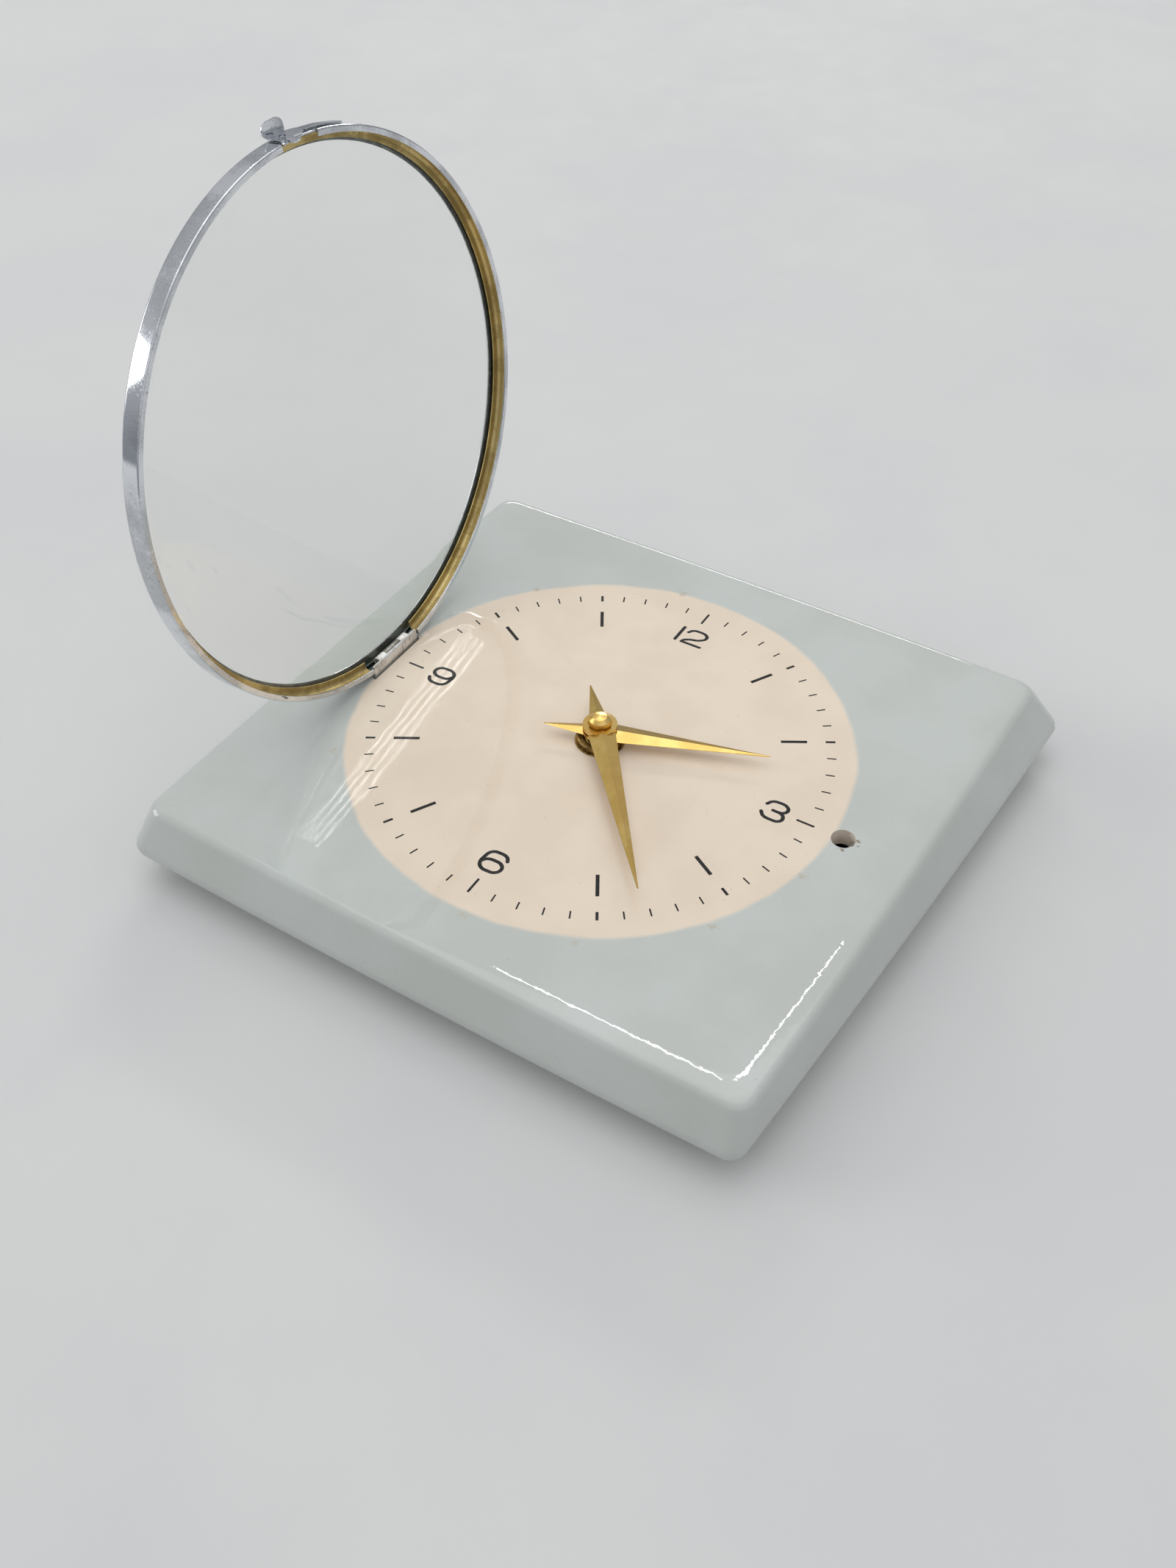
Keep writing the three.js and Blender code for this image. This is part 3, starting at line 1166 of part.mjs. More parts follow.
// Hairspring: flat spiral strip below the lower disc
function hairspring() {
  const steps = HAIRSPRING_TURNS * 12;
  const line = [];
  for (let k = 0; k <= steps; k += 1) {
    const share = k / steps;
    const angle = share * HAIRSPRING_TURNS * 2 * Math.PI;
    const radius = THREE.MathUtils.lerp(HAIRSPRING_INNER, HAIRSPRING_OUTER, share);
    line.push(new THREE.Vector2(radius * Math.cos(angle), radius * Math.sin(angle)));
  }
  const level = BRIDGE_TOP + PART_GAP;
  const strip = slab(sheetShape(line, HAIRSPRING_SHEET), level, level + HAIRSPRING_HEIGHT);
  const stud = disc(HAIRSPRING_STUD_RADIUS, BRIDGE_TOP + SEAT_GAP, level + HAIRSPRING_HEIGHT, 10).translate(HAIRSPRING_OUTER, 0, 0);
  return at(fuse(strip, stud), balancePlace);
}
add('hairspring', hairspring(), steel());

// Regulator lever on the bridge, its end bent out through the cover's slot
function regulatorLever() {
  const high = BRIDGE_LEVEL - SEAT_GAP;
  const low = high - REGULATOR_SHEET;
  const half = REGULATOR_HALF_WIDTH;
  const ring = disc(REGULATOR_RING_RADIUS, low, high, 16);
  const arm = block(-half, half, 0, REGULATOR_LENGTH, low, high);
  const tab = block(-half, half, REGULATOR_LENGTH - REGULATOR_TAB, REGULATOR_LENGTH, KNOB_BACK, high);
  const body = fuse(ring, arm, tab);
  return at(cut(body, disc(PIVOT_RADIUS + PIVOT_GAP, low - CUT_OVERRUN, high + CUT_OVERRUN, 12)), balancePlace);
}
add('regulator_lever', regulatorLever(), steel());

// Back cover over the works, with the knob's hole, the regulator's slot and sunk screw holes
function backCover() {
  const low = BAY_WALL_Y - CASE_WALL / 2;
  const plate = slab(
    roundedBox(-CASE_HALF_WIDTH, CASE_HALF_WIDTH, low, CASE_Y_HIGH, CASE_CORNER / 2), 0, COVER_SHEET,
  );
  const knobHole = at(disc(KNOB_RADIUS + KNOB_CLEARANCE, -CUT_OVERRUN, COVER_SHEET + CUT_OVERRUN, 24), settingPlace);
  const swing = REGULATOR_SWING + REGULATOR_SPARE;
  const slotPoints = [];
  const steps = 5;
  [REGULATOR_LENGTH + PART_GAP, REGULATOR_LENGTH - REGULATOR_TAB - PART_GAP].forEach((radius, row) => {
    for (let k = 0; k <= steps; k += 1) {
      const share = row === 0 ? k / steps : 1 - k / steps;
      const angle = Math.PI / 2 + THREE.MathUtils.lerp(-swing, swing, share);
      slotPoints.push(new THREE.Vector2(radius * Math.cos(angle), radius * Math.sin(angle)));
    }
  });
  const slot = at(slab(new THREE.Shape(slotPoints), -CUT_OVERRUN, COVER_SHEET + CUT_OVERRUN), balancePlace);
  const sinks = screwSpots.map(([x, y]) => revolve([
    [0, -CUT_OVERRUN],
    [SCREW_HEAD_RADIUS + RUN_GAP, -CUT_OVERRUN],
    [SCREW_HEAD_RADIUS + RUN_GAP, PART_GAP],
    [SCREW_RADIUS + RUN_GAP, SCREW_HEAD + PART_GAP],
    [SCREW_RADIUS + RUN_GAP, COVER_SHEET + CUT_OVERRUN],
    [0, COVER_SHEET + CUT_OVERRUN],
  ], 10).translate(x, y, 0));
  return cut(plate, knobHole, slot, ...sinks);
}
add('back_cover', backCover(), plastic());

screwSpots.forEach(([x, y], i) => {
  const head = PART_GAP - SEAT_GAP;
  const screw = revolve([
    [0, head],
    [SCREW_HEAD_RADIUS, head],
    [SCREW_RADIUS, head + SCREW_HEAD],
    [SCREW_RADIUS, SCREW_LENGTH],
    [0, SCREW_LENGTH],
  ], 10);
  const slot = block(
    -SCREW_HEAD_RADIUS, SCREW_HEAD_RADIUS, -SCREW_SLOT / 2, SCREW_SLOT / 2, head - CUT_OVERRUN, head + SCREW_SLOT,
  );
  add(`cover_screw_${i + 1}`, cut(screw, slot).translate(x, y, 0), steel());
});

// Battery in its open bay, with a spring contact at each end
const bayMiddleY = (CASE_Y_LOW + CASE_WALL + BAY_WALL_Y - CASE_WALL / 2) / 2;
const batteryLevel = CASE_CEILING - PART_GAP - BATTERY_RADIUS;
const half = BATTERY_LENGTH / 2;
const battery = revolve([
  [0, -half],
  [BATTERY_RADIUS - BATTERY_EDGE, -half],
  [BATTERY_RADIUS, -half + BATTERY_EDGE],
  [BATTERY_RADIUS, half - BATTERY_EDGE],
  [BATTERY_RADIUS - BATTERY_EDGE, half],
  [BATTERY_NUB_RADIUS, half],
  [BATTERY_NUB_RADIUS, half + BATTERY_NUB],
  [0, half + BATTERY_NUB],
], 24).rotateY(Math.PI / 2).translate(0, bayMiddleY, batteryLevel);
add('battery', battery, finish(0x8d9296, 0.35, 0.4));

function batteryContact(side, reach) {
  const wall = innerX - SEAT_GAP - CONTACT_SHEET / 2;
  const line = roundedPoints([
    [wall, CASE_CEILING - PART_GAP],
    [wall, CASE_FLOOR + CONTACT_FOOT, CONTACT_BEND],
    [reach + CONTACT_SPRING, batteryLevel - CONTACT_BELOW, CONTACT_BEND],
    [reach + SEAT_GAP + CONTACT_SHEET / 2, batteryLevel, CONTACT_BEND],
    [reach + CONTACT_SPRING, batteryLevel + CONTACT_ABOVE],
  ], 3, false);
  const strip = sheetAcrossY(line, CONTACT_SHEET, -CONTACT_WIDTH / 2, CONTACT_WIDTH / 2);
  return strip.rotateZ(side < 0 ? Math.PI : 0).translate(0, bayMiddleY, 0);
}
add('battery_contact_positive', batteryContact(1, half + BATTERY_NUB), steel());
add('battery_contact_negative', batteryContact(-1, half), steel());

// Circuit board with its transistor, screwed flat beside the coil arm
const boardLow = BRIDGE_TOP + PART_GAP;
const boardTop = boardLow + BOARD_SHEET;
const boardLeft = BOARD_WALL_GAP - innerX;
const boardRight = boardLeft + BOARD_WIDTH;
const boardOutline = roundedBox(boardLeft, boardRight, BOARD_Y_LOW, BOARD_Y_HIGH, BOARD_CORNER);
add('circuit_board', slab(boardOutline, boardLow, boardTop), finish(0x6b5a2c, 0.6, 0));
const can = disc(TRANSISTOR_RADIUS, boardTop + SEAT_GAP, boardTop + SEAT_GAP + TRANSISTOR_HEIGHT, 18);
add('transistor', can.translate((boardLeft + boardRight) / 2, TRANSISTOR_Y, 0), steel());

// Hands: ridged sheet daggers with short tails and a round cup at the hub
function roofBlade(fromWidth, fromRidge, reach) {
  const stations = [
    { along: 0, halfWidth: fromWidth, ridge: fromRidge },
    { along: reach, halfWidth: BLADE_TIP, ridge: BLADE_TIP },
  ];
  const vertices = stations.flatMap(({ along, halfWidth, ridge }) => [
    -halfWidth, along, 0, halfWidth, along, 0, 0, along, ridge,
  ]);
  const geometry = new THREE.BufferGeometry();
  geometry.setAttribute('position', new THREE.Float32BufferAttribute(vertices, 3));
  geometry.setIndex([0, 1, 2, 3, 5, 4, 0, 3, 4, 0, 4, 1, 1, 4, 5, 1, 5, 2, 2, 5, 3, 2, 3, 0]);
  const hollow = geometry.clone().translate(0, 0, -HAND_SHEET);
  return cut(geometry, hollow);
}

function clockHand(sizes) {
  const { reach, tail, halfWidth, tailHalfWidth, ridge, bore } = sizes;
  const blade = roofBlade(halfWidth, ridge, reach);
  const counter = roofBlade(tailHalfWidth, ridge, tail).rotateZ(Math.PI);
  const cup = disc(HUB_CUP_RADIUS, -CUT_OVERRUN, ridge + CUT_OVERRUN, 20);
  const hub = collar(HUB_RADIUS, bore, 0, HUB_SHEET, 20);
  const wall = collar(HUB_RADIUS, HUB_CUP_RADIUS, 0, ridge - HAND_SHEET, 20);
  return fuse(hub, wall, cut(blade, cup), cut(counter, cup));
}

const minuteAngle = (TIME_HOURS % 1) * 2 * Math.PI;
const hourAngle = (TIME_HOURS / 12) * 2 * Math.PI;

const hourHand = clockHand({
  reach: HOUR_HAND_REACH,
  tail: HOUR_HAND_TAIL,
  halfWidth: HOUR_HAND_HALF_WIDTH,
  tailHalfWidth: HOUR_TAIL_HALF_WIDTH,
  ridge: HOUR_HAND_RIDGE,
  bore: HOUR_SEAT_RADIUS + SEAT_GAP,
});
add('hour_hand', hourHand.rotateZ(-hourAngle).translate(0, 0, HOUR_HAND_LEVEL), brass());

const minuteHand = clockHand({
  reach: MINUTE_HAND_REACH,
  tail: MINUTE_HAND_TAIL,
  halfWidth: MINUTE_HAND_HALF_WIDTH,
  tailHalfWidth: MINUTE_TAIL_HALF_WIDTH,
  ridge: MINUTE_HAND_RIDGE,
  bore: ARBOR_THREAD_RADIUS + SEAT_GAP,
});
add('minute_hand', minuteHand.rotateZ(-minuteAngle).translate(0, 0, MINUTE_HAND_LEVEL), brass());

const handBore = ARBOR_THREAD_RADIUS + SEAT_GAP;
add('hand_washer', collar(HAND_WASHER_RADIUS, handBore, washerLevel, washerLevel + HAND_WASHER, 20), brass());

function handNut() {
  const points = [];
  const step = (2 * Math.PI) / KNURL_COUNT;
  for (let i = 0; i < KNURL_COUNT; i += 1) {
    [[0, HAND_NUT_RADIUS], [0.5, HAND_NUT_RADIUS - KNURL_DEPTH]].forEach(([share, radius]) => {
      const angle = (i + share) * step;
      points.push(new THREE.Vector2(radius * Math.cos(angle), radius * Math.sin(angle)));
    });
  }
  const coneLow = handNutLevel + HAND_NUT;
  const body = slab(new THREE.Shape(points), handNutLevel, coneLow);
  const neck = HAND_NUT_RADIUS - KNURL_DEPTH - HAND_NUT_SHOULDER;
  const cone = revolve([
    [0, coneLow - HAND_NUT_SHOULDER],
    [neck, coneLow - HAND_NUT_SHOULDER],
    [neck, coneLow],
    [neck * HAND_NUT_TAPER, coneLow + HAND_NUT_CONE],
    [0, coneLow + HAND_NUT_CONE],
  ], 20);
  const bore = disc(handBore, handNutLevel - CUT_OVERRUN, arborTop + SEAT_GAP, 16);
  return cut(fuse(body, cone), bore);
}
add('hand_nut', handNut(), brass());

export default clock;
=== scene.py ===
"""Ceramic wall clock with its bezel open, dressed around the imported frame.

The casing lies on its back on a pale sheet, 12 o'clock towards +Y and the dial facing +Z.
Sizes are written in millimetres and turned to metres where a piece is made. Pieces of the bezel
are modelled in the closed place and then swung open about the hinge pin.
"""

import logging
import math
from collections.abc import Callable, Sequence
from dataclasses import dataclass
from enum import Enum

import bmesh
import bpy
from mathutils import Matrix, Vector


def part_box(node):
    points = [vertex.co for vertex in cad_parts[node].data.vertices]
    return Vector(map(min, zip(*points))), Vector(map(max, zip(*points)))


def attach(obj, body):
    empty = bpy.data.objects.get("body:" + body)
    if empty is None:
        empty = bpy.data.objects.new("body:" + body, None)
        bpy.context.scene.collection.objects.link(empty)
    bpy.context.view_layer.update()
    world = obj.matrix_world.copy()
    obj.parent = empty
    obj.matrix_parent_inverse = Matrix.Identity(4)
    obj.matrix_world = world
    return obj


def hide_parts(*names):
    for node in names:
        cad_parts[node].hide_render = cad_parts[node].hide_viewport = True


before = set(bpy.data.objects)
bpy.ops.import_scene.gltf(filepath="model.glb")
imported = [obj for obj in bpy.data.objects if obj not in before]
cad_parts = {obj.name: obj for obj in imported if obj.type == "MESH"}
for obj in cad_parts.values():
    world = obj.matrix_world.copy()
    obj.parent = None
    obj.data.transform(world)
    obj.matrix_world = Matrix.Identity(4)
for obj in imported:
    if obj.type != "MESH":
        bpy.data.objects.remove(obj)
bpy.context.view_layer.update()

logging.basicConfig(level=logging.INFO, format="%(message)s")
log = logging.getLogger("clock")

MM = 0.001
WELD = 0.002
FLAT_ANGLE = math.radians(0.5)
MINUTE = math.pi / 30
Point = tuple[float, float]
Triple = tuple[float, float, float]


def low(node: str) -> Vector:
    """Lowest corner of a node of the frame, in millimetres."""
    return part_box(node)[0] / MM


def high(node: str) -> Vector:
    """Highest corner of a node of the frame, in millimetres."""
    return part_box(node)[1] / MM


# Casing
CASING_DEPTH = high("ceramic_casing").z
BELLY_DISTANCES = (100.62, 94.6, 97.85, 93.25)
CASING_TURN = math.radians(-0.8)
THREE_TURN_BELLY = math.radians(-4.75)
THREE_TURN_TOP = math.radians(-2.4)
SIDE_BOW = 0.9
BELLY_HEIGHT = 10.5
CORNER_RADIUS_BELLY = 4.6
CORNER_RADIUS_TOP = 6.0
CORNER_ROUNDNESS = (1.0, 0.8, 1.0, 1.0)
OUTER_PROFILE = (
    (9.0, 0.0, 1.2), (-0.7, 10.5, 5.5), (4.9, 25.5, 3.2), (9.8, 25.82, 60.0), (19.5, 26.0, 240.0),
)
CAVITY_PROFILE = ((15.0, 0.0, 1.0), (7.5, 8.5, 3.0), (12.0, 20.5, 3.0))
CAVITY_ROOF = CAVITY_PROFILE[-1][1]
FLAT_INSET = 24.0
CENTRE_HOLE_RADIUS = 5.5
CATCH_HOLE = (75.8, 0.0)
CATCH_HOLE_RADIUS = 3.35

# Hinge
PIN_X = (low("hinge_pin").x + high("hinge_pin").x) / 2
PIN_Z = (low("hinge_pin").z + high("hinge_pin").z) / 2
PIN_RADIUS = 0.6
PIN_HALF_LENGTH = high("hinge_pin").y
HINGE_SHEET = 0.5
CURL_RADIUS = 0.925
CURL_OUTER = CURL_RADIUS + HINGE_SHEET / 2
LEAF_Y_LOW = low("hinge_leaf_fixed").y
LEAF_Y_HIGH = high("hinge_leaf_fixed").y
LEAF_UPRIGHT_X = PIN_X + 1.75
KNUCKLE_HALF_WIDTH = 3.4
KNUCKLE_PLAY = 0.15
CURL_END = 7.2
OPEN_ANGLE = math.radians(95.3)

# Bezel, in its closed place
RING_RADIUS = 76.0
RING_SHEET = 0.5
RING_LOW = CASING_DEPTH + 0.5
RING_HIGH = RING_LOW + 5.7
LIP_INNER = 74.3
FLANGE_INNER = 72.0
WALL_INNER = RING_RADIUS - RING_SHEET
NOTCH_HALF_WIDTH = 11.0
NOTCH_HIGH = CASING_DEPTH + 1.9
LIP_GAP = (-3.0, 10.3)
RING_SPLIT = 0.5
RING_ROLL = 0.9
STRIP_SHEET = 0.35
STRIP_FOOT_RADIUS = 72.7
GLASS_RADIUS = 74.9
GLASS_RIM_INNER = 71.3
GLASS_THICKNESS = 1.6
GLASS_TOP = RING_HIGH - RING_SHEET - 0.05
GLASS_LOW = GLASS_TOP - GLASS_THICKNESS
GLASS_RISE = 10.5

# Dial marks
MARK_LEVEL = CASING_DEPTH
MARK_THICKNESS = 0.06
STROKE = 0.54

# Camera: place, axes and focal length in pixels of the photograph
CAMERA_PLACE = (157.403, -267.196, 314.500)
CAMERA_RIGHT = (0.85712973, 0.51509442, -0.002521)
CAMERA_DOWN = (0.36041535, -0.6032222, -0.71149403)
CAMERA_FORWARD = (-0.36800733, 0.60893408, -0.70268762)
FOCAL_PIXELS = 2007.786
PHOTO_HEIGHT = 2133
SENSOR = 36.0

FINISH = "_finish"

# Colour sockets of a mix node, which has further sockets of the same names
COLOUR_A = 6
COLOUR_B = 7
COLOUR_RESULT = 2


class Axis(Enum):
    """Direction that a cylinder or a tube runs in."""

    Y = (math.pi / 2, 0.0, 0.0)
    Z = (0.0, 0.0, 0.0)


class Pick(Enum):
    """What is selected in edit mode."""

    VERT = "VERT"
    EDGE = "EDGE"


def srgb(red: int, green: int, blue: int) -> tuple[float, float, float, float]:
    """Turns a colour as the eye reads it, 0 to 255, into linear values.

    Args:
        red: red share.
        green: green share.
        blue: blue share.

    Returns:
        The linear colour with full opacity.
    """
    linear = []
    for share in (red, green, blue):
        value = share / 255
        linear.append(value / 12.92 if value <= 0.04045 else ((value + 0.055) / 1.055) ** 2.4)
    return (*linear, 1.0)


def round_off(corners: Sequence[Sequence[float]], steps: int, closed: bool) -> list[Point]:
    """Rounds the corners of a line in a plane.

    Args:
        corners: (a, b) or (a, b, radius) for each corner.
        steps: number of steps in each rounded corner.
        closed: whether the last corner joins the first.

    Returns:
        The points of the rounded line.
    """
    points: list[Point] = []
    count = len(corners)
    for i, corner in enumerate(corners):
        radius = corner[2] if len(corner) > 2 else 0.0
        at_end = not closed and i in (0, count - 1)
        here = Vector(corner[:2])
        if radius == 0 or at_end:
            points.append((here.x, here.y))
            continue
        to_last = (Vector(corners[i - 1][:2]) - here).normalized()
        to_next = (Vector(corners[(i + 1) % count][:2]) - here).normalized()
        half = to_last.angle(to_next) / 2
        reach = radius / math.tan(half)
        centre = here + (to_last + to_next).normalized() * (radius / math.sin(half))
        start = here + to_last * reach - centre
        turn = start.angle_signed(here + to_next * reach - centre)
        for k in range(steps + 1):
            spoke = start.copy()
            spoke.rotate(Matrix.Rotation(-turn * k / steps, 2))
            points.append((centre.x + spoke.x, centre.y + spoke.y))
    return points


def clear_selection() -> None:
    """Leaves edit mode and deselects every object."""
    if bpy.context.object and bpy.context.object.mode != "OBJECT":
        bpy.ops.object.mode_set(mode="OBJECT")
    bpy.ops.object.select_all(action="DESELECT")


class Workpiece:
    """One mesh while it is being modelled."""

    def __init__(self, obj: bpy.types.Object, name: str) -> None:
        """Takes over an object under a new name.

        Args:
            obj: the object.
            name: its new name.
        """
        self.obj = obj
        self.obj.name = name
        self.obj.data.name = name

    @classmethod
    def from_active(cls, name: str) -> "Workpiece":
        """Takes over the object that was just added, with its place put into its mesh.

        Args:
            name: the piece's name.

        Returns:
            The piece.
        """
        obj = bpy.context.active_object
        bpy.ops.object.transform_apply(location=True, rotation=True, scale=True)
        return cls(obj, name)

    @classmethod
    def box(cls, name: str, lowest: Triple, highest: Triple) -> "Workpiece":
        """Makes a box between two corners.

        Args:
            name: the piece's name.
            lowest: lowest corner in millimetres.
            highest: highest corner in millimetres.

        Returns:
            The box.
        """
        clear_selection()
        start, end = Vector(lowest) * MM, Vector(highest) * MM
        bpy.ops.mesh.primitive_cube_add(size=1, location=(start + end) / 2, scale=end - start)
        return cls.from_active(name)

    @classmethod
    def rod(
        cls, name: str, radius: float, ends: Point, place: Point, axis: Axis, steps: int
    ) -> "Workpiece":
        """Makes a round rod.

        Args:
            name: the piece's name.
            radius: radius in millimetres.
            ends: where the rod starts and ends along its axis, in millimetres.
            place: the two other coordinates of its axis, in the order x, y, z.
            axis: direction of the rod.
            steps: number of sides.

        Returns:
            The rod.
        """
        clear_selection()
        middle = (ends[0] + ends[1]) / 2
        centre = {
            Axis.Y: (place[0], middle, place[1]),
            Axis.Z: (place[0], place[1], middle),
        }[axis]
        bpy.ops.mesh.primitive_cylinder_add(
            vertices=steps,
            radius=radius * MM,
            depth=abs(ends[1] - ends[0]) * MM,
            location=Vector(centre) * MM,
            rotation=axis.value,
        )
        return cls.from_active(name)

    @classmethod
    def from_node(cls, name: str, node: str) -> "Workpiece":
        """Copies a node of the frame and joins its loose triangles into clean faces.

        Args:
            name: the piece's name.
            node: the node that is copied.

        Returns:
            The copy with its flat faces whole and its corners sharp.
        """
        clear_selection()
        obj = bpy.data.objects.new(name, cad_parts[node].data.copy())
        bpy.context.scene.collection.objects.link(obj)
        bpy.context.view_layer.objects.active = obj
        obj.select_set(True)
        obj.data.materials.clear()
        piece = cls(obj, name)
        piece.edit()
        bpy.ops.mesh.customdata_custom_splitnormals_clear()
        bpy.ops.mesh.remove_doubles(threshold=WELD * MM)
        bpy.ops.mesh.dissolve_limited(angle_limit=FLAT_ANGLE)
        piece.leave()
        return piece

    @classmethod
    def chain(cls, name: str, points: Sequence[Triple], closed: bool) -> "Workpiece":
        """Draws a line of edges by extruding one vertex from point to point.

        Args:
            name: the piece's name.
            points: the line's points in millimetres.
            closed: whether the last point joins the first.

        Returns:
            The line of edges.
        """
        clear_selection()
        bpy.ops.mesh.primitive_plane_add(size=MM)
        piece = cls.from_active(name)
        piece.edit()
        bpy.ops.mesh.merge(type="CENTER")
        bpy.ops.mesh.select_all(action="SELECT")
        bpy.ops.transform.translate(value=Vector(points[0]) * MM)
        for here, following in zip(points, points[1:]):
            step = (Vector(following) - Vector(here)) * MM
            bpy.ops.mesh.extrude_region_move(TRANSFORM_OT_translate={"value": step})
        if closed:
            piece.pick(Pick.VERT, lambda v: len(v.link_edges) == 1)
            bpy.ops.mesh.edge_face_add()
        piece.leave()
        return piece

    @classmethod
    def turned(cls, name: str, profile: Sequence[Point], steps: int, closed: bool = True) -> "Workpiece":
        """Spins a profile about the clock's axis.

        Args:
            name: the piece's name.
            profile: (radius, height) points in millimetres.
            steps: number of steps round the axis.
            closed: whether the profile is a closed line off the axis.

        Returns:
            The turned piece.
        """
        piece = cls.chain(name, [(radius, 0.0, level) for radius, level in profile], closed)
        piece.edit()
        bpy.ops.mesh.spin(steps=steps, angle=2 * math.pi, center=(0, 0, 0), axis=(0, 0, 1))
        bpy.ops.mesh.select_all(action="SELECT")
        bpy.ops.mesh.remove_doubles(threshold=WELD * MM)
        bpy.ops.mesh.dissolve_degenerate(threshold=WELD / 2 * MM)
        piece.outward()
        piece.leave()
        return piece

    @classmethod
    def bent_sheet(cls, name: str, line: Sequence[Point], thickness: float, sides: Point) -> "Workpiece":
        """Extrudes a bent line along Y and gives it a thickness to both sides.

        Args:
            name: the piece's name.
            line: (x, z) points of the sheet's middle, in millimetres.
            thickness: thickness in millimetres.
            sides: lowest and highest y in millimetres.

        Returns:
            The sheet.
        """
        piece = cls.chain(name, [(x, sides[0], z) for x, z in line], False)
        piece.edit()
        run = (0, (sides[1] - sides[0]) * MM, 0)
        bpy.ops.mesh.extrude_region_move(TRANSFORM_OT_translate={"value": run})
        piece.outward()
        piece.leave()
        piece.modify("SOLIDIFY", thickness=thickness * MM, offset=0, use_even_offset=True)
        return piece

    def activate(self) -> None:
        """Makes this the only selected and active object."""
        clear_selection()
        self.obj.select_set(True)
        bpy.context.view_layer.objects.active = self.obj

    def edit(self) -> None:
        """Enters edit mode with everything selected."""
        self.activate()
        bpy.ops.object.mode_set(mode="EDIT")
        bpy.ops.mesh.select_mode(type="VERT")
        bpy.ops.mesh.select_all(action="SELECT")

    def leave(self) -> None:
        """Leaves edit mode."""
        bpy.ops.object.mode_set(mode="OBJECT")

    def outward(self) -> None:
        """Turns every face outwards, from edit mode."""
        bpy.ops.mesh.select_all(action="SELECT")
        bpy.ops.mesh.normals_make_consistent(inside=False)

    def pick(self, kind: Pick, wanted: Callable[..., bool]) -> None:
        """Selects the elements that pass a test, from edit mode.

        Args:
            kind: vertices or edges.
            wanted: the test, given one element.
        """
        bpy.ops.mesh.select_mode(type=kind.value)
        bpy.ops.mesh.select_all(action="DESELECT")
        mesh = bmesh.from_edit_mesh(self.obj.data)
        for element in {Pick.VERT: mesh.verts, Pick.EDGE: mesh.edges}[kind]:
            if wanted(element):
                element.select_set(True)
        mesh.select_flush_mode()
        bmesh.update_edit_mesh(self.obj.data)

    def modify(self, kind: str, **settings: object) -> None:
        """Adds a modifier and applies it.

        Args:
            kind: the modifier's type.
            **settings: its settings.
        """
        self.activate()
        modifier = self.obj.modifiers.new(kind.title(), kind)
        for key, value in settings.items():
            setattr(modifier, key, value)
        bpy.ops.object.modifier_apply(modifier=modifier.name)

    def soften(self, width: float, segments: int = 2, angle: float = 30.0) -> None:
        """Bevels the edges that are sharper than an angle.

        Args:
            width: width in millimetres.
            segments: number of steps.
            angle: smallest angle in degrees.
        """
        self.modify(
            "BEVEL",
            width=width * MM,
            segments=segments,
            limit_method="ANGLE",
            angle_limit=math.radians(angle),
        )

    def combine(self, other: "Workpiece", operation: str = "DIFFERENCE") -> None:
        """Cuts or fuses with another piece, which is used up.

        Args:
            other: the other piece.
            operation: DIFFERENCE or UNION.
        """
        self.modify("BOOLEAN", operation=operation, object=other.obj, solver="EXACT")
        bpy.data.objects.remove(other.obj, do_unlink=True)

    def join(self, others: Sequence["Workpiece"]) -> None:
        """Puts other pieces' meshes into this one.

        Args:
            others: the other pieces, which are used up.
        """
        self.activate()
        for other in others:
            other.obj.select_set(True)
        bpy.context.view_layer.objects.active = self.obj
        bpy.ops.object.join()

    def copied(self, name: str) -> "Workpiece":
        """Copies the piece with a mesh of its own.

        Args:
            name: the copy's name.

        Returns:
            The copy.
        """
        obj = self.obj.copy()
        obj.data = self.obj.data.copy()
        bpy.context.scene.collection.objects.link(obj)
        return Workpiece(obj, name)

    def turned_about(self, axis: str, angle: float, centre: Triple = (0.0, 0.0, 0.0)) -> None:
        """Turns the mesh about an axis through a centre.

        Args:
            axis: X, Y or Z.
            angle: angle in radians by the right-hand rule.
            centre: centre in millimetres.
        """
        self.activate()
        place = Matrix.Translation(Vector(centre) * MM)
        self.obj.matrix_world = place @ Matrix.Rotation(angle, 4, axis) @ place.inverted()
        bpy.ops.object.transform_apply(location=True, rotation=True, scale=True)

    def swing_open(self) -> None:
        """Turns a piece of the closed bezel to the open place."""
        self.turned_about("Y", -OPEN_ANGLE, (PIN_X, 0.0, PIN_Z))

    def finish(
        self,
        body: str,
        slot: str,
        material: bpy.types.Material,
        replaces: Sequence[str] = (),
        angle: float = 32.0,
    ) -> None:
        """Shades the piece, gives it its finish and hangs it on its body.

        Args:
            body: the body that it rides on.
            slot: the record's material slot, not used.
            material: its finish.
            replaces: nodes of the frame that it stands for.
            angle: edges sharper than this stay sharp, in degrees.
        """
        self.activate()
        bpy.ops.object.shade_smooth_by_angle(angle=math.radians(angle))
        self.modify("WEIGHTED_NORMAL", mode="FACE_AREA", weight=50, keep_sharp=True)
        if not self.obj.data.materials:
            self.obj.data.materials.append(material)
        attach(self.obj, body)
        if replaces:
            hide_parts(*replaces)
        log.info("%s rides on %s, %d faces", self.obj.name, body, len(self.obj.data.polygons))


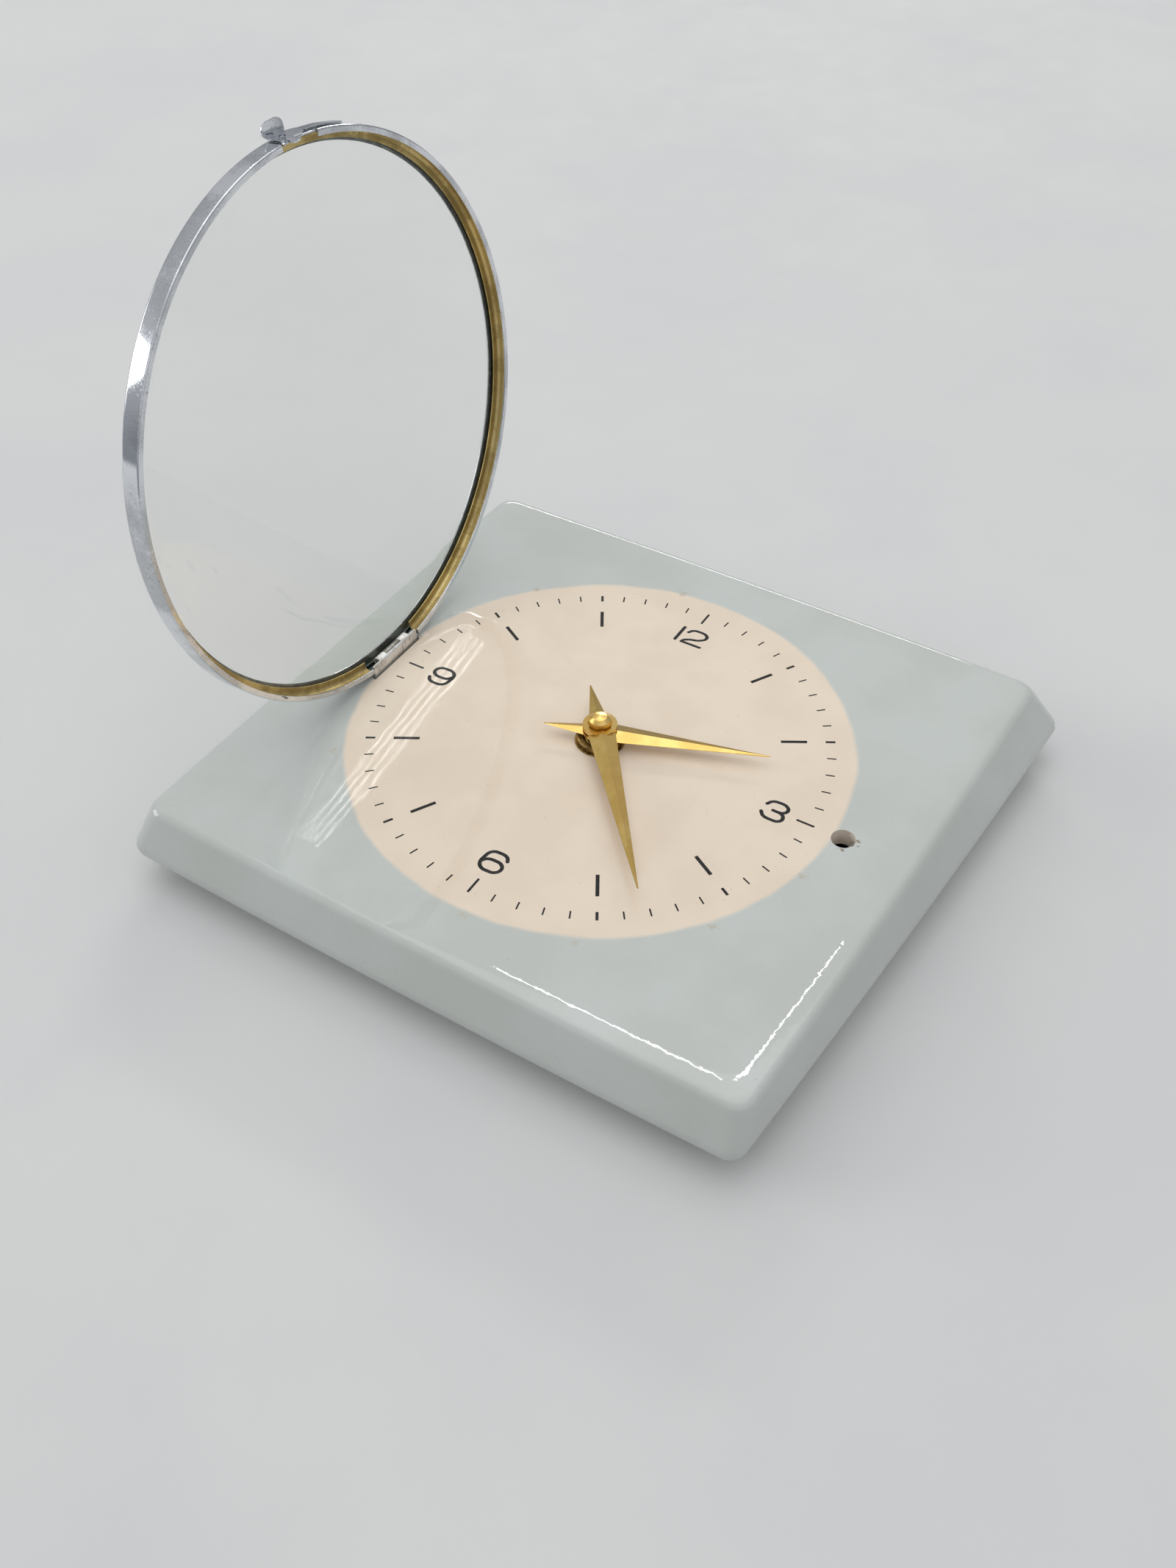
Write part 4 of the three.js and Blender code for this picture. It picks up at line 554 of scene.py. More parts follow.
class Recipe:
    """Builds one procedural material node by node."""

    def __init__(self, name: str) -> None:
        """Starts an empty material with one shader.

        Args:
            name: the finish's name.
        """
        self.material = bpy.data.materials.new(name + FINISH)
        self.material.use_nodes = True
        self.tree = self.material.node_tree
        self.tree.nodes.clear()
        self.output = self.node("ShaderNodeOutputMaterial")
        self.shader = self.node("ShaderNodeBsdfPrincipled")
        self.link(self.shader.outputs["BSDF"], self.output.inputs["Surface"])
        self.place = self.node("ShaderNodeTexCoord").outputs["Object"]
        self.normal: bpy.types.NodeSocket | None = None

    def node(self, kind: str, **settings: object) -> bpy.types.Node:
        """Adds a node with its settings.

        Args:
            kind: the node's type.
            **settings: its settings.

        Returns:
            The node.
        """
        made = self.tree.nodes.new(kind)
        for key, value in settings.items():
            setattr(made, key, value)
        return made

    def link(self, source: bpy.types.NodeSocket, target: bpy.types.NodeSocket) -> None:
        """Links two sockets."""
        self.tree.links.new(source, target)

    def feed(self, target: bpy.types.NodeSocket, value: object) -> None:
        """Links a socket or sets a plain value.

        Args:
            target: the input.
            value: a socket or a plain value.
        """
        if isinstance(value, bpy.types.NodeSocket):
            self.link(value, target)
        else:
            target.default_value = value

    def set(self, **values: object) -> None:
        """Sets the shader's inputs, named with underscores for spaces."""
        for key, value in values.items():
            self.feed(self.shader.inputs[key.replace("_", " ")], value)

    def mapped(self, angle: float = 0.0, stretch: Triple = (1.0, 1.0, 1.0)) -> bpy.types.NodeSocket:
        """Turns the pattern about Z, then stretches it.

        Args:
            angle: turn in radians.
            stretch: scale along each axis.

        Returns:
            The mapped coordinates.
        """
        turn = self.node("ShaderNodeMapping")
        turn.inputs["Rotation"].default_value = (0.0, 0.0, angle)
        self.link(self.place, turn.inputs["Vector"])
        scale = self.node("ShaderNodeMapping")
        scale.inputs["Scale"].default_value = stretch
        self.link(turn.outputs["Vector"], scale.inputs["Vector"])
        return scale.outputs["Vector"]

    def noise(
        self,
        size: float,
        detail: float = 3.0,
        source: bpy.types.NodeSocket | None = None,
        rough: float = 0.5,
    ) -> bpy.types.NodeSocket:
        """Adds soft noise.

        Args:
            size: size of a patch in millimetres.
            detail: number of finer layers.
            source: coordinates, or none for the object's own.
            rough: share of the finer layers.

        Returns:
            The noise, about 0.3 to 0.7.
        """
        made = self.node("ShaderNodeTexNoise")
        made.inputs["Scale"].default_value = 1 / (size * MM)
        made.inputs["Detail"].default_value = detail
        made.inputs["Roughness"].default_value = rough
        self.link(source or self.place, made.inputs["Vector"])
        return made.outputs["Fac"]

    def cells(self, size: float) -> bpy.types.NodeSocket:
        """Adds scattered points.

        Args:
            size: spacing of the points in millimetres.

        Returns:
            The distance to the nearest point, as a share of the spacing.
        """
        made = self.node("ShaderNodeTexVoronoi")
        made.inputs["Scale"].default_value = 1 / (size * MM)
        self.link(self.place, made.inputs["Vector"])
        return made.outputs["Distance"]

    def span(
        self,
        value: bpy.types.NodeSocket,
        start: float,
        end: float,
        first: float = 0.0,
        last: float = 1.0,
    ) -> bpy.types.NodeSocket:
        """Maps a value smoothly from one span to another, clamped.

        Args:
            value: the value.
            start: where the span starts.
            end: where the span ends.
            first: result at the start.
            last: result at the end.

        Returns:
            The mapped value.
        """
        made = self.node("ShaderNodeMapRange", interpolation_type="SMOOTHSTEP")
        self.feed(made.inputs["Value"], value)
        for key, number in zip(("From Min", "From Max", "To Min", "To Max"), (start, end, first, last)):
            made.inputs[key].default_value = number
        return made.outputs["Result"]

    def maths(self, operation: str, first: object, second: object = 0.0) -> bpy.types.NodeSocket:
        """Works out a sum, a product, the larger of two values or a sine.

        Args:
            operation: the node's operation.
            first: first value.
            second: second value, which a sine leaves out.

        Returns:
            The result.
        """
        made = self.node("ShaderNodeMath", operation=operation)
        self.feed(made.inputs[0], first)
        self.feed(made.inputs[1], second)
        return made.outputs["Value"]

    def blend(self, share: object, first: object, second: object) -> bpy.types.NodeSocket:
        """Mixes two colours by a share.

        Args:
            share: 0 for the first colour, 1 for the second.
            first: first colour.
            second: second colour.

        Returns:
            The mixed colour.
        """
        made = self.node("ShaderNodeMix", data_type="RGBA")
        self.feed(made.inputs["Factor"], share)
        self.feed(made.inputs[COLOUR_A], first)
        self.feed(made.inputs[COLOUR_B], second)
        return made.outputs[COLOUR_RESULT]

    def bump(self, height: bpy.types.NodeSocket, depth: float) -> None:
        """Adds relief on top of any relief so far.

        Args:
            height: the relief, 0 to 1.
            depth: its depth in millimetres.
        """
        made = self.node("ShaderNodeBump")
        made.inputs["Strength"].default_value = 1.0
        made.inputs["Distance"].default_value = depth * MM
        self.link(height, made.inputs["Height"])
        if self.normal is not None:
            self.link(self.normal, made.inputs["Normal"])
        self.normal = made.outputs["Normal"]
        self.link(self.normal, self.shader.inputs["Normal"])

    def axes(self) -> tuple[bpy.types.NodeSocket, bpy.types.NodeSocket, bpy.types.NodeSocket]:
        """Splits the object's coordinates.

        Returns:
            The sockets of x, y and z.
        """
        split = self.node("ShaderNodeSeparateXYZ")
        self.link(self.place, split.inputs["Vector"])
        return split.outputs["X"], split.outputs["Y"], split.outputs["Z"]

    def distance_to(self, spot: Point) -> bpy.types.NodeSocket:
        """Distance from an upright line through a spot of the dial, in metres.

        Args:
            spot: (x, y) of the spot in millimetres.

        Returns:
            The distance.
        """
        shift = self.node("ShaderNodeMapping")
        shift.inputs["Location"].default_value = (-spot[0] * MM, -spot[1] * MM, 0.0)
        shift.inputs["Scale"].default_value = (1.0, 1.0, 0.0)
        self.link(self.place, shift.inputs["Vector"])
        length = self.node("ShaderNodeVectorMath", operation="LENGTH")
        self.link(shift.outputs["Vector"], length.inputs[0])
        return length.outputs["Value"]


@dataclass(frozen=True)
class Glaze:
    """Glossy glaze of the casing: cream on the dial, pale blue grey round it, bare foot rim."""

    cream: tuple = srgb(229, 214, 195)
    cream_shade: tuple = srgb(225, 209, 189)
    cream_fleck: tuple = srgb(212, 194, 170)
    blue: tuple = srgb(193, 198, 194)
    blue_shade: tuple = srgb(188, 192, 187)
    blue_fleck: tuple = srgb(174, 179, 174)
    clay: tuple = srgb(206, 190, 166)
    clay_shade: tuple = srgb(176, 158, 132)
    speck: tuple = srgb(96, 88, 76)
    residue: tuple = srgb(186, 180, 164)
    disc_radius: float = 73.1
    disc_edge: float = 0.9
    ripple_start: float = 80.0
    ripple_end: float = 94.0
    spots: tuple = (
        (-12.2, 72.5), (-53.5, 50.5), (72.3, -17.8), (32.8, -67.7),
        (-63.0, -42.8), (3.3, -74.5), (60.0, -45.0),
    )
    grime: tuple = srgb(128, 112, 88)
    grime_spots: tuple = ((79.5, 1.1), (79.8, -0.7), (77.0, -3.7), (-72.5, 11.8))

    def disc(self, mix: Recipe, above: bpy.types.NodeSocket) -> bpy.types.NodeSocket:
        """Works out where the cream lies, with a softly wandering edge.

        Args:
            mix: the material being built.
            above: share of the dial's level.

        Returns:
            1 on the cream and 0 off it.
        """
        wobble = mix.span(mix.noise(16.0, 2.0), 0.3, 0.7, -0.3 * MM, 0.3 * MM)
        radius = mix.maths("ADD", mix.distance_to((0.0, 0.0)), wobble)
        start, end = (self.disc_radius - self.disc_edge) * MM, (self.disc_radius + self.disc_edge) * MM
        return mix.maths("MULTIPLY", mix.span(radius, start, end, 1.0, 0.0), above)

    def stains(
        self, mix: Recipe, above: bpy.types.NodeSocket, colour: bpy.types.NodeSocket
    ) -> bpy.types.NodeSocket:
        """Adds the faint marks round the disc's edge.

        Args:
            mix: the material being built.
            above: share of the dial's level.
            colour: colour so far.

        Returns:
            The colour with the marks.
        """
        ragged = mix.span(mix.noise(0.8), 0.3, 0.7, -0.8 * MM, 0.8 * MM)
        for spots, tone, size in ((self.spots, self.residue, 1.3), (self.grime_spots, self.grime, 0.7)):
            for spot in spots:
                reach = mix.maths("ADD", mix.distance_to(spot), ragged)
                stain = mix.maths("MULTIPLY", mix.span(reach, 0.3 * size * MM, size * MM, 0.8, 0.0), above)
                colour = mix.blend(stain, colour, tone)
        return colour

    def build(self) -> bpy.types.Material:
        """Builds the material.

        Returns:
            The material.
        """
        mix = Recipe("glazed_ceramic")
        _, _, height = mix.axes()
        above = mix.span(height, 25.0 * MM, 25.6 * MM)
        cream = mix.blend(mix.span(mix.noise(18.0, 3.0), 0.35, 0.65), self.cream, self.cream_shade)
        cream = mix.blend(mix.span(mix.noise(1.1, 2.0), 0.7, 0.8), cream, self.cream_fleck)
        blue = mix.blend(mix.span(mix.noise(30.0, 4.0), 0.35, 0.65), self.blue, self.blue_shade)
        blue = mix.blend(mix.span(mix.noise(0.9, 3.0), 0.66, 0.8), blue, self.blue_fleck)
        colour = mix.blend(self.disc(mix, above), blue, cream)
        specks = mix.span(mix.cells(9.0), 0.012, 0.02, 0.8, 0.0)
        specks = mix.maths("MULTIPLY", specks, mix.span(mix.noise(6.0, 1.0), 0.5, 0.6))
        colour = mix.blend(specks, colour, self.speck)
        colour = self.stains(mix, above, colour)
        foot = mix.span(height, 0.6 * MM, 1.6 * MM, 1.0, 0.0)
        clay = mix.blend(mix.span(mix.noise(0.7, 4.0), 0.4, 0.6), self.clay, self.clay_shade)
        shine = mix.span(mix.noise(9.0, 5.0), 0.35, 0.7, 0.014, 0.034)
        mix.set(
            Base_Color=mix.blend(foot, colour, clay),
            Roughness=mix.maths("ADD", shine, mix.span(foot, 0.0, 1.0, 0.0, 0.6)),
            IOR=1.52,
        )
        mix.bump(mix.noise(34.0, 2.0), 0.05)
        mix.bump(mix.noise(4.0, 1.0), 0.001)
        rim = mix.span(mix.distance_to((0.0, 0.0)), self.ripple_start * MM, self.ripple_end * MM)
        mix.bump(mix.maths("MULTIPLY", mix.noise(2.6, 2.0), rim), 0.018)
        mix.bump(specks, 0.04)
        return mix.material


@dataclass(frozen=True)
class MarkGlaze:
    """Near black glaze of the numerals and ticks, fused into the cream."""

    ink: tuple = srgb(16, 14, 13)
    worn: tuple = srgb(40, 35, 31)

    def build(self) -> bpy.types.Material:
        """Builds the material.

        Returns:
            The material.
        """
        mix = Recipe("mark_glaze")
        worn = mix.span(mix.noise(0.8, 4.0), 0.52, 0.75)
        mix.set(
            Base_Color=mix.blend(worn, self.ink, self.worn),
            Roughness=mix.span(mix.noise(2.0, 4.0), 0.3, 0.7, 0.1, 0.22),
            IOR=1.5,
        )
        mix.bump(mix.noise(0.6, 3.0), 0.01)
        return mix.material


@dataclass(frozen=True)
class Metal:
    """A metal with grain, tarnish and pits.

    Attributes:
        name: the material's name.
        bright: colour where it is clean.
        dull: colour where it is tarnished.
        shine: lowest and highest roughness.
        grain: fine grain depth in millimetres.
        grain_angle: direction of the grain in the dial's plane, in radians.
        grain_stretch: how long the grain is drawn.
        patch: size of a tarnished patch in millimetres.
        streak: share of the grain in the tarnish.
        pits: depth of the pits in millimetres, or 0 for none.
        pit_size: spacing of the pits in millimetres.
        pit_tone: colour in the pits.
        metallic: share of bare metal.
    """

    name: str
    bright: tuple
    dull: tuple
    shine: tuple[float, float]
    grain: float = 0.01
    grain_angle: float = 0.0
    grain_stretch: Triple = (1.0, 1.0, 1.0)
    patch: float = 6.0
    streak: float = 0.25
    pits: float = 0.0
    pit_size: float = 1.4
    pit_tone: tuple = srgb(70, 62, 50)
    metallic: float = 1.0

    def build(self) -> bpy.types.Material:
        """Builds the material.

        Returns:
            The material.
        """
        mix = Recipe(self.name)
        along = mix.mapped(self.grain_angle, self.grain_stretch)
        tarnish = mix.span(mix.noise(self.patch, 5.0, rough=0.6), 0.36, 0.66)
        streaks = mix.noise(0.35, 4.0, along)
        tarnish = mix.maths("ADD", tarnish, mix.span(streaks, 0.35, 0.65, -self.streak, self.streak))
        colour = mix.blend(mix.span(tarnish, 0.0, 1.0), self.bright, self.dull)
        shine = mix.span(tarnish, 0.0, 1.0, *self.shine)
        if self.pits:
            pit = mix.span(mix.cells(self.pit_size), 0.1, 0.2, 1.0, 0.0)
            pit = mix.maths("MULTIPLY", pit, mix.span(mix.noise(self.patch / 2, 3.0), 0.44, 0.6))
            colour = mix.blend(pit, colour, self.pit_tone)
            shine = mix.maths("ADD", shine, mix.span(pit, 0.0, 1.0, 0.0, 0.3))
            mix.bump(pit, -self.pits)
        mix.set(Base_Color=colour, Metallic=self.metallic, Roughness=shine)
        mix.bump(streaks, self.grain)
        return mix.material


@dataclass(frozen=True)
class Moulded:
    """A moulded or rubbery surface with fine texture and scuffs.

    Attributes:
        name: the material's name.
        base: main colour.
        worn: colour of the scuffs.
        shine: lowest and highest roughness.
        texture: depth of the fine texture in millimetres.
    """

    name: str
    base: tuple
    worn: tuple
    shine: tuple[float, float]
    texture: float = 0.02

    def build(self) -> bpy.types.Material:
        """Builds the material.

        Returns:
            The material.
        """
        mix = Recipe(self.name)
        scuff = mix.span(mix.noise(5.0, 6.0, rough=0.65), 0.5, 0.72)
        fine = mix.noise(0.4, 3.0)
        mix.set(
            Base_Color=mix.blend(scuff, self.base, self.worn),
            Roughness=mix.span(mix.noise(3.0, 4.0), 0.35, 0.65, *self.shine),
            IOR=1.46,
        )
        mix.bump(fine, self.texture)
        return mix.material


@dataclass(frozen=True)
class Glass:
    """Clear domed glass with faint smears, lit through by lamps."""

    tint: tuple = srgb(250, 252, 250)

    def build(self) -> bpy.types.Material:
        """Builds the material.

        Returns:
            The material.
        """
        mix = Recipe("clear_glass")
        smear = mix.span(mix.noise(16.0, 4.0), 0.45, 0.75, 0.0, 0.04)
        mix.set(Base_Color=self.tint, Roughness=smear, IOR=1.45, Transmission_Weight=1.0)
        mix.bump(mix.noise(30.0, 1.0), 0.05)
        clear = mix.node("ShaderNodeBsdfTransparent")
        ray = mix.node("ShaderNodeLightPath")
        both = mix.node("ShaderNodeMixShader")
        mix.link(ray.outputs["Is Shadow Ray"], both.inputs["Fac"])
        mix.link(mix.shader.outputs["BSDF"], both.inputs[1])
        mix.link(clear.outputs["BSDF"], both.inputs[2])
        mix.link(both.outputs["Shader"], mix.output.inputs["Surface"])
        return mix.material


@dataclass(frozen=True)
class GlassEdge:
    """Ground rim of the glass, dark green grey where it is seen on edge."""

    tone: tuple = srgb(92, 104, 96)
    chip: tuple = srgb(126, 134, 124)

    def build(self) -> bpy.types.Material:
        """Builds the material.

        Returns:
            The material.
        """
        mix = Recipe("glass_edge")
        chips = mix.span(mix.noise(0.8, 3.0), 0.5, 0.7)
        mix.set(
            Base_Color=mix.blend(chips, self.tone, self.chip),
            Roughness=mix.span(mix.noise(2.0, 3.0), 0.3, 0.7, 0.12, 0.35),
            IOR=1.45,
        )
        mix.bump(mix.noise(0.7, 2.0), 0.03)
        return mix.material


@dataclass(frozen=True)
class Jacket:
    """Plain printed jacket of the battery: a dark sleeve with a coppery end band."""

    sleeve: tuple = srgb(38, 40, 44)
    band: tuple = srgb(178, 112, 62)
    cap: tuple = srgb(186, 186, 182)
    scuffed: tuple = srgb(120, 118, 112)
    band_start: float = 12.0
    half_length: float = 24.0

    def build(self) -> bpy.types.Material:
        """Builds the material.

        Returns:
            The material.
        """
        mix = Recipe("battery_jacket")
        along, _, _ = mix.axes()
        end = self.half_length
        band = mix.span(along, self.band_start * MM, (self.band_start + 0.2) * MM)
        cap = mix.span(along, (end - 0.1) * MM, end * MM)
        foot = mix.span(along, -end * MM, (0.1 - end) * MM, 1.0, 0.0)
        colour = mix.blend(band, self.sleeve, self.band)
        colour = mix.blend(mix.maths("MAXIMUM", cap, foot), colour, self.cap)
        scuff = mix.span(mix.noise(2.5, 5.0), 0.55, 0.75)
        mix.set(
            Base_Color=mix.blend(scuff, colour, self.scuffed),
            Roughness=mix.span(mix.noise(4.0, 3.0), 0.3, 0.7, 0.25, 0.4),
            Metallic=mix.maths("MAXIMUM", cap, mix.maths("MAXIMUM", band, foot)),
        )
        mix.bump(mix.noise(0.9, 2.0), 0.01)
        return mix.material


@dataclass(frozen=True)
class Winding:
    """Enamelled copper wire wound in rings about the coil's own middle."""

    centre: Point
    wire: float = 0.22
    bright: tuple = srgb(196, 116, 68)
    dull: tuple = srgb(124, 62, 34)

    def build(self) -> bpy.types.Material:
        """Builds the material.

        Returns:
            The material.
        """
        mix = Recipe("copper_wire")
        phase = mix.maths("MULTIPLY", mix.distance_to(self.centre), 2 * math.pi / (self.wire * MM))
        rings = mix.span(mix.maths("SINE", phase), -1.0, 1.0)
        mix.set(
            Base_Color=mix.blend(rings, self.dull, self.bright),
            Metallic=0.8,
            Roughness=mix.span(mix.noise(1.5), 0.3, 0.7, 0.28, 0.45),
        )
        mix.bump(rings, 0.05)
        return mix.material


@dataclass(frozen=True)
class Sheet:
    """Pale paper sheet that the clock lies on."""

    base: tuple = srgb(209, 209, 208)
    shade: tuple = srgb(206, 206, 206)

    def build(self) -> bpy.types.Material:
        """Builds the material.

        Returns:
            The material.
        """
        mix = Recipe("pale_sheet")
        mix.set(
            Base_Color=mix.blend(mix.span(mix.noise(120.0, 3.0), 0.35, 0.65), self.base, self.shade),
            Roughness=mix.span(mix.noise(20.0), 0.3, 0.7, 0.75, 0.9),
        )
        mix.bump(mix.noise(1.2, 4.0), 0.02)
        return mix.material


class Shop:
    """Makes each finish once and hands it out by name."""

    def __init__(self, minute_angle: float, hour_angle: float) -> None:
        """Builds all the finishes.

        Args:
            minute_angle: where the minute hand points, clockwise from 12, in radians.
            hour_angle: where the hour hand points.
        """
        hand, hand_shade = srgb(240, 204, 126), srgb(222, 184, 106)
        along_hand = (1.0, 0.05, 1.0)
        coil_low, coil_high = low("drive_coil"), high("drive_coil")
        coil_middle = ((coil_low.x + coil_high.x) / 2, (coil_low.y + coil_high.y) / 2)
        finishes = (
            Glaze(),
            MarkGlaze(),
            Glass(),
            GlassEdge(),
            Jacket(),
            Winding(coil_middle),
            Sheet(),
            Metal(
                "chrome", srgb(228, 231, 235), srgb(192, 195, 199), (0.05, 0.17), 0.002,
                patch=16.0, pits=0.012, pit_size=0.9, pit_tone=srgb(112, 116, 122),
            ),
            Metal(
                "latch_chrome", srgb(224, 227, 231), srgb(178, 182, 188), (0.06, 0.2), 0.0015,
                patch=7.0, pits=0.004, pit_size=1.1, pit_tone=srgb(138, 142, 148),
            ),
            *(
                Metal(
                    name, hand, hand_shade, (0.11, 0.19), 0.0008, angle, along_hand,
                    patch=14.0, streak=0.08,
                )
                for name, angle in (("minute_brass", minute_angle), ("hour_brass", hour_angle))
            ),
            Metal("strip_brass", srgb(206, 186, 130), srgb(174, 154, 102), (0.4, 0.6), 0.006, patch=9.0),
            # Dark green-grey metal under the flange inside the channel: painted shade where the channel is
            # unlit
            Metal("channel_inside", srgb(104, 112, 102), srgb(66, 72, 64), (0.35, 0.6), 0.006, patch=4.0),
            Metal("nut_brass", hand, hand_shade, (0.26, 0.36), 0.002, patch=7.0, streak=0.08),
            Metal("brass", srgb(206, 172, 104), srgb(150, 116, 62), (0.18, 0.42), 0.006, patch=3.0),
            Metal(
                "dark_brass", srgb(168, 138, 82), srgb(104, 84, 48), (0.3, 0.55), 0.02,
                patch=2.5, pits=0.02,
            ),
            Metal(
                "aluminium", srgb(240, 239, 236), srgb(196, 192, 184), (0.3, 0.5), 0.02,
                metallic=0.75, grain_stretch=(1.0, 1.0, 0.12), pits=0.02, pit_size=1.0,
            ),
            Metal(
                "steel", srgb(176, 174, 168), srgb(124, 120, 112), (0.25, 0.45), 0.01,
                patch=4.0, pits=0.01,
            ),
            # Unglazed clay of the catch hole's wall, painted lighter than the foot's clay: painted light
            # inside the shaded hole
            Moulded("bare_clay", srgb(228, 217, 204), srgb(198, 184, 166), (0.5, 0.8), 0.03),
            Moulded("rubber", srgb(34, 33, 32), srgb(60, 58, 56), (0.6, 0.8), 0.03),
            Moulded("black_plastic", srgb(30, 30, 32), srgb(58, 58, 58), (0.35, 0.55), 0.03),
            Moulded("ivory_plastic", srgb(226, 216, 190), srgb(196, 182, 150), (0.3, 0.5), 0.01),
            Moulded("board", srgb(120, 96, 52), srgb(92, 74, 40), (0.45, 0.65), 0.01),
        )
        made = [finish.build() for finish in finishes]
        self.materials = {material.name.removesuffix(FINISH): material for material in made}

    def __getitem__(self, name: str) -> bpy.types.Material:
        """Returns a finish by its name."""
        return self.materials[name]


def side_crossings(inset: float, height: float) -> tuple[list[tuple[float, float, float]], list[Vector]]:
    """Works out the casing's four corners at one level.

    Args:
        inset: how far the side lines are set in from the belly, in millimetres.
        height: level in millimetres.

    Returns:
        The corners as (x, y, radius), and the outward direction of each side.
    """
    share = min(max((height - BELLY_HEIGHT) / (CASING_DEPTH - BELLY_HEIGHT), 0.0), 1.0)
    radius = CORNER_RADIUS_BELLY + (CORNER_RADIUS_TOP - CORNER_RADIUS_BELLY) * share
    three_turn = THREE_TURN_BELLY + (THREE_TURN_TOP - THREE_TURN_BELLY) * share
    turns = (three_turn, CASING_TURN, CASING_TURN, CASING_TURN)
    angles = [i * math.pi / 2 + turn for i, turn in enumerate(turns)]
    normals = [Vector((math.cos(angle), math.sin(angle))) for angle in angles]
    reaches = [distance - inset for distance in BELLY_DISTANCES]
    corners = []
    for i, normal in enumerate(normals):
        following = normals[(i + 1) % 4]
        reach, next_reach = reaches[i], reaches[(i + 1) % 4]
        scale = 1 / (normal.x * following.y - normal.y * following.x)
        x = (reach * following.y - next_reach * normal.y) * scale
        y = (next_reach * normal.x - reach * following.x) * scale
        corners.append((x, y, radius * CORNER_ROUNDNESS[i]))
    return corners, normals


def casing_outline(inset: float, height: float, arc_steps: int, side_steps: int) -> list[Point]:
    """Works out the casing's outline at one level, with its rounded corners and bowed sides.

    Args:
        inset: how far the side lines are set in from the belly, in millimetres.
        height: level in millimetres.
        arc_steps: steps in each corner.
        side_steps: steps along each side.

    Returns:
        The outline's points.
    """
    corners, normals = side_crossings(inset, height)
    arcs = round_off(corners, arc_steps, True)
    per_arc = arc_steps + 1
    points: list[Point] = []
    for corner in range(4):
        points += arcs[corner * per_arc : (corner + 1) * per_arc]
        start = Vector(arcs[(corner + 1) * per_arc - 1])
        end = Vector(arcs[((corner + 1) % 4) * per_arc])
        for k in range(1, side_steps):
            share = k / side_steps
            bow = 4 * SIDE_BOW * share * (1 - share)
            spot = start.lerp(end, share) + normals[(corner + 1) % 4] * bow
            points.append((spot.x, spot.y))
    return points


@dataclass
class Casing:
    """Hollow glazed casing, one closed skin wound from the dial round the foot into the hollow."""

    shop: Shop
    arc_steps: int = 14
    side_steps: int = 26
    profile_steps: int = 8
    longest_step: float = 4.0
    hole_edge: float = 0.35
    slot_play: Point = (0.6, 0.9)
    # Band and slope that pick the catch hole's wall for the pale bare clay, which carries painted light
    bare_painted_light_band: float = 0.2
    bare_painted_light_slope: float = 0.6

    def profile(self) -> list[Point]:
        """Returns the section as (inset, height), from the dial's flat out, down and into the hollow."""
        outer = [(FLAT_INSET, CASING_DEPTH), *reversed(OUTER_PROFILE)]
        cavity = [*CAVITY_PROFILE, (FLAT_INSET, CAVITY_ROOF)]
        line = round_off([*outer, *cavity], self.profile_steps, False)
        first = (FLAT_INSET + 1, CASING_DEPTH)
        last = (FLAT_INSET + 1, CAVITY_ROOF)
        return [first, *line, last]

    def skin(self) -> Workpiece:
        """Wraps a grid round the outline, level by level, and closes both ends.

        Returns:
            The casing before its holes are cut.
        """
        section = self.densified(self.profile())
        around = 4 * (self.arc_steps + self.side_steps)
        clear_selection()
        bpy.ops.mesh.primitive_grid_add(x_subdivisions=around, y_subdivisions=len(section) - 1, size=1)
        piece = Workpiece.from_active("glazed_casing")
        rings = [casing_outline(inset, level, self.arc_steps, self.side_steps) for inset, level in section]
        for vertex in piece.obj.data.vertices:
            column = round((vertex.co.x + 0.5) * around)
            row = round((vertex.co.y + 0.5) * (len(section) - 1))
            x, y = rings[row][column % around]
            vertex.co = Vector((x, y, section[row][1])) * MM
        piece.edit()
        bpy.ops.mesh.remove_doubles(threshold=WELD / 2 * MM)
        for level in (CASING_DEPTH, CAVITY_ROOF):
            piece.pick(Pick.EDGE, lambda e: e.is_boundary and abs(e.verts[0].co.z / MM - level) < 0.01)
            bpy.ops.mesh.edge_face_add()
        piece.outward()
        piece.leave()
        return piece

    def densified(self, line: Sequence[Point]) -> list[Point]:
        """Adds points so that no step along the section is longer than the longest allowed.

        Args:
            line: the section's points.

        Returns:
            The points with those between them.
        """
        points: list[Point] = [line[0]]
        for start, end in zip(line, line[1:]):
            parts = max(1, math.ceil(math.dist(start, end) / self.longest_step))
            points += [tuple(Vector(start).lerp(Vector(end), k / parts)) for k in range(1, parts + 1)]
        return points

    def build(self) -> None:
        """Models the casing with its centre hole, catch hole and hinge slot."""
        piece = self.skin()
        through = (CAVITY_ROOF - 1, CASING_DEPTH + 1)
        centre = Workpiece.rod("centre_hole", CENTRE_HOLE_RADIUS, through, (0, 0), Axis.Z, 48)
        catch = Workpiece.rod("catch_hole", CATCH_HOLE_RADIUS, through, CATCH_HOLE, Axis.Z, 48)
        half, play = HINGE_SHEET / 2 + self.slot_play[0], self.slot_play[1]
        slot = Workpiece.box(
            "hinge_slot",
            (LEAF_UPRIGHT_X - half, LEAF_Y_LOW - play, through[0]),
            (LEAF_UPRIGHT_X + half, LEAF_Y_HIGH + play, through[1]),
        )
        for hole in (centre, catch, slot):
            piece.combine(hole)
        piece.soften(self.hole_edge, 3, 50)
        piece.obj.data.materials.append(self.shop["glazed_ceramic"])
        piece.obj.data.materials.append(self.shop["bare_clay"])
        # The catch hole's wall takes bare clay painted pale, painted light where the hole lies in shade
        for face in piece.obj.data.polygons:
            beside_hole = math.dist(face.center.xy / MM, CATCH_HOLE) < CATCH_HOLE_RADIUS + self.bare_painted_light_band
            face.material_index = int(beside_hole and abs(face.normal.z) < self.bare_painted_light_slope)
        piece.finish("casing", "glazed_ceramic", self.shop["glazed_ceramic"], ["ceramic_casing"], 40)


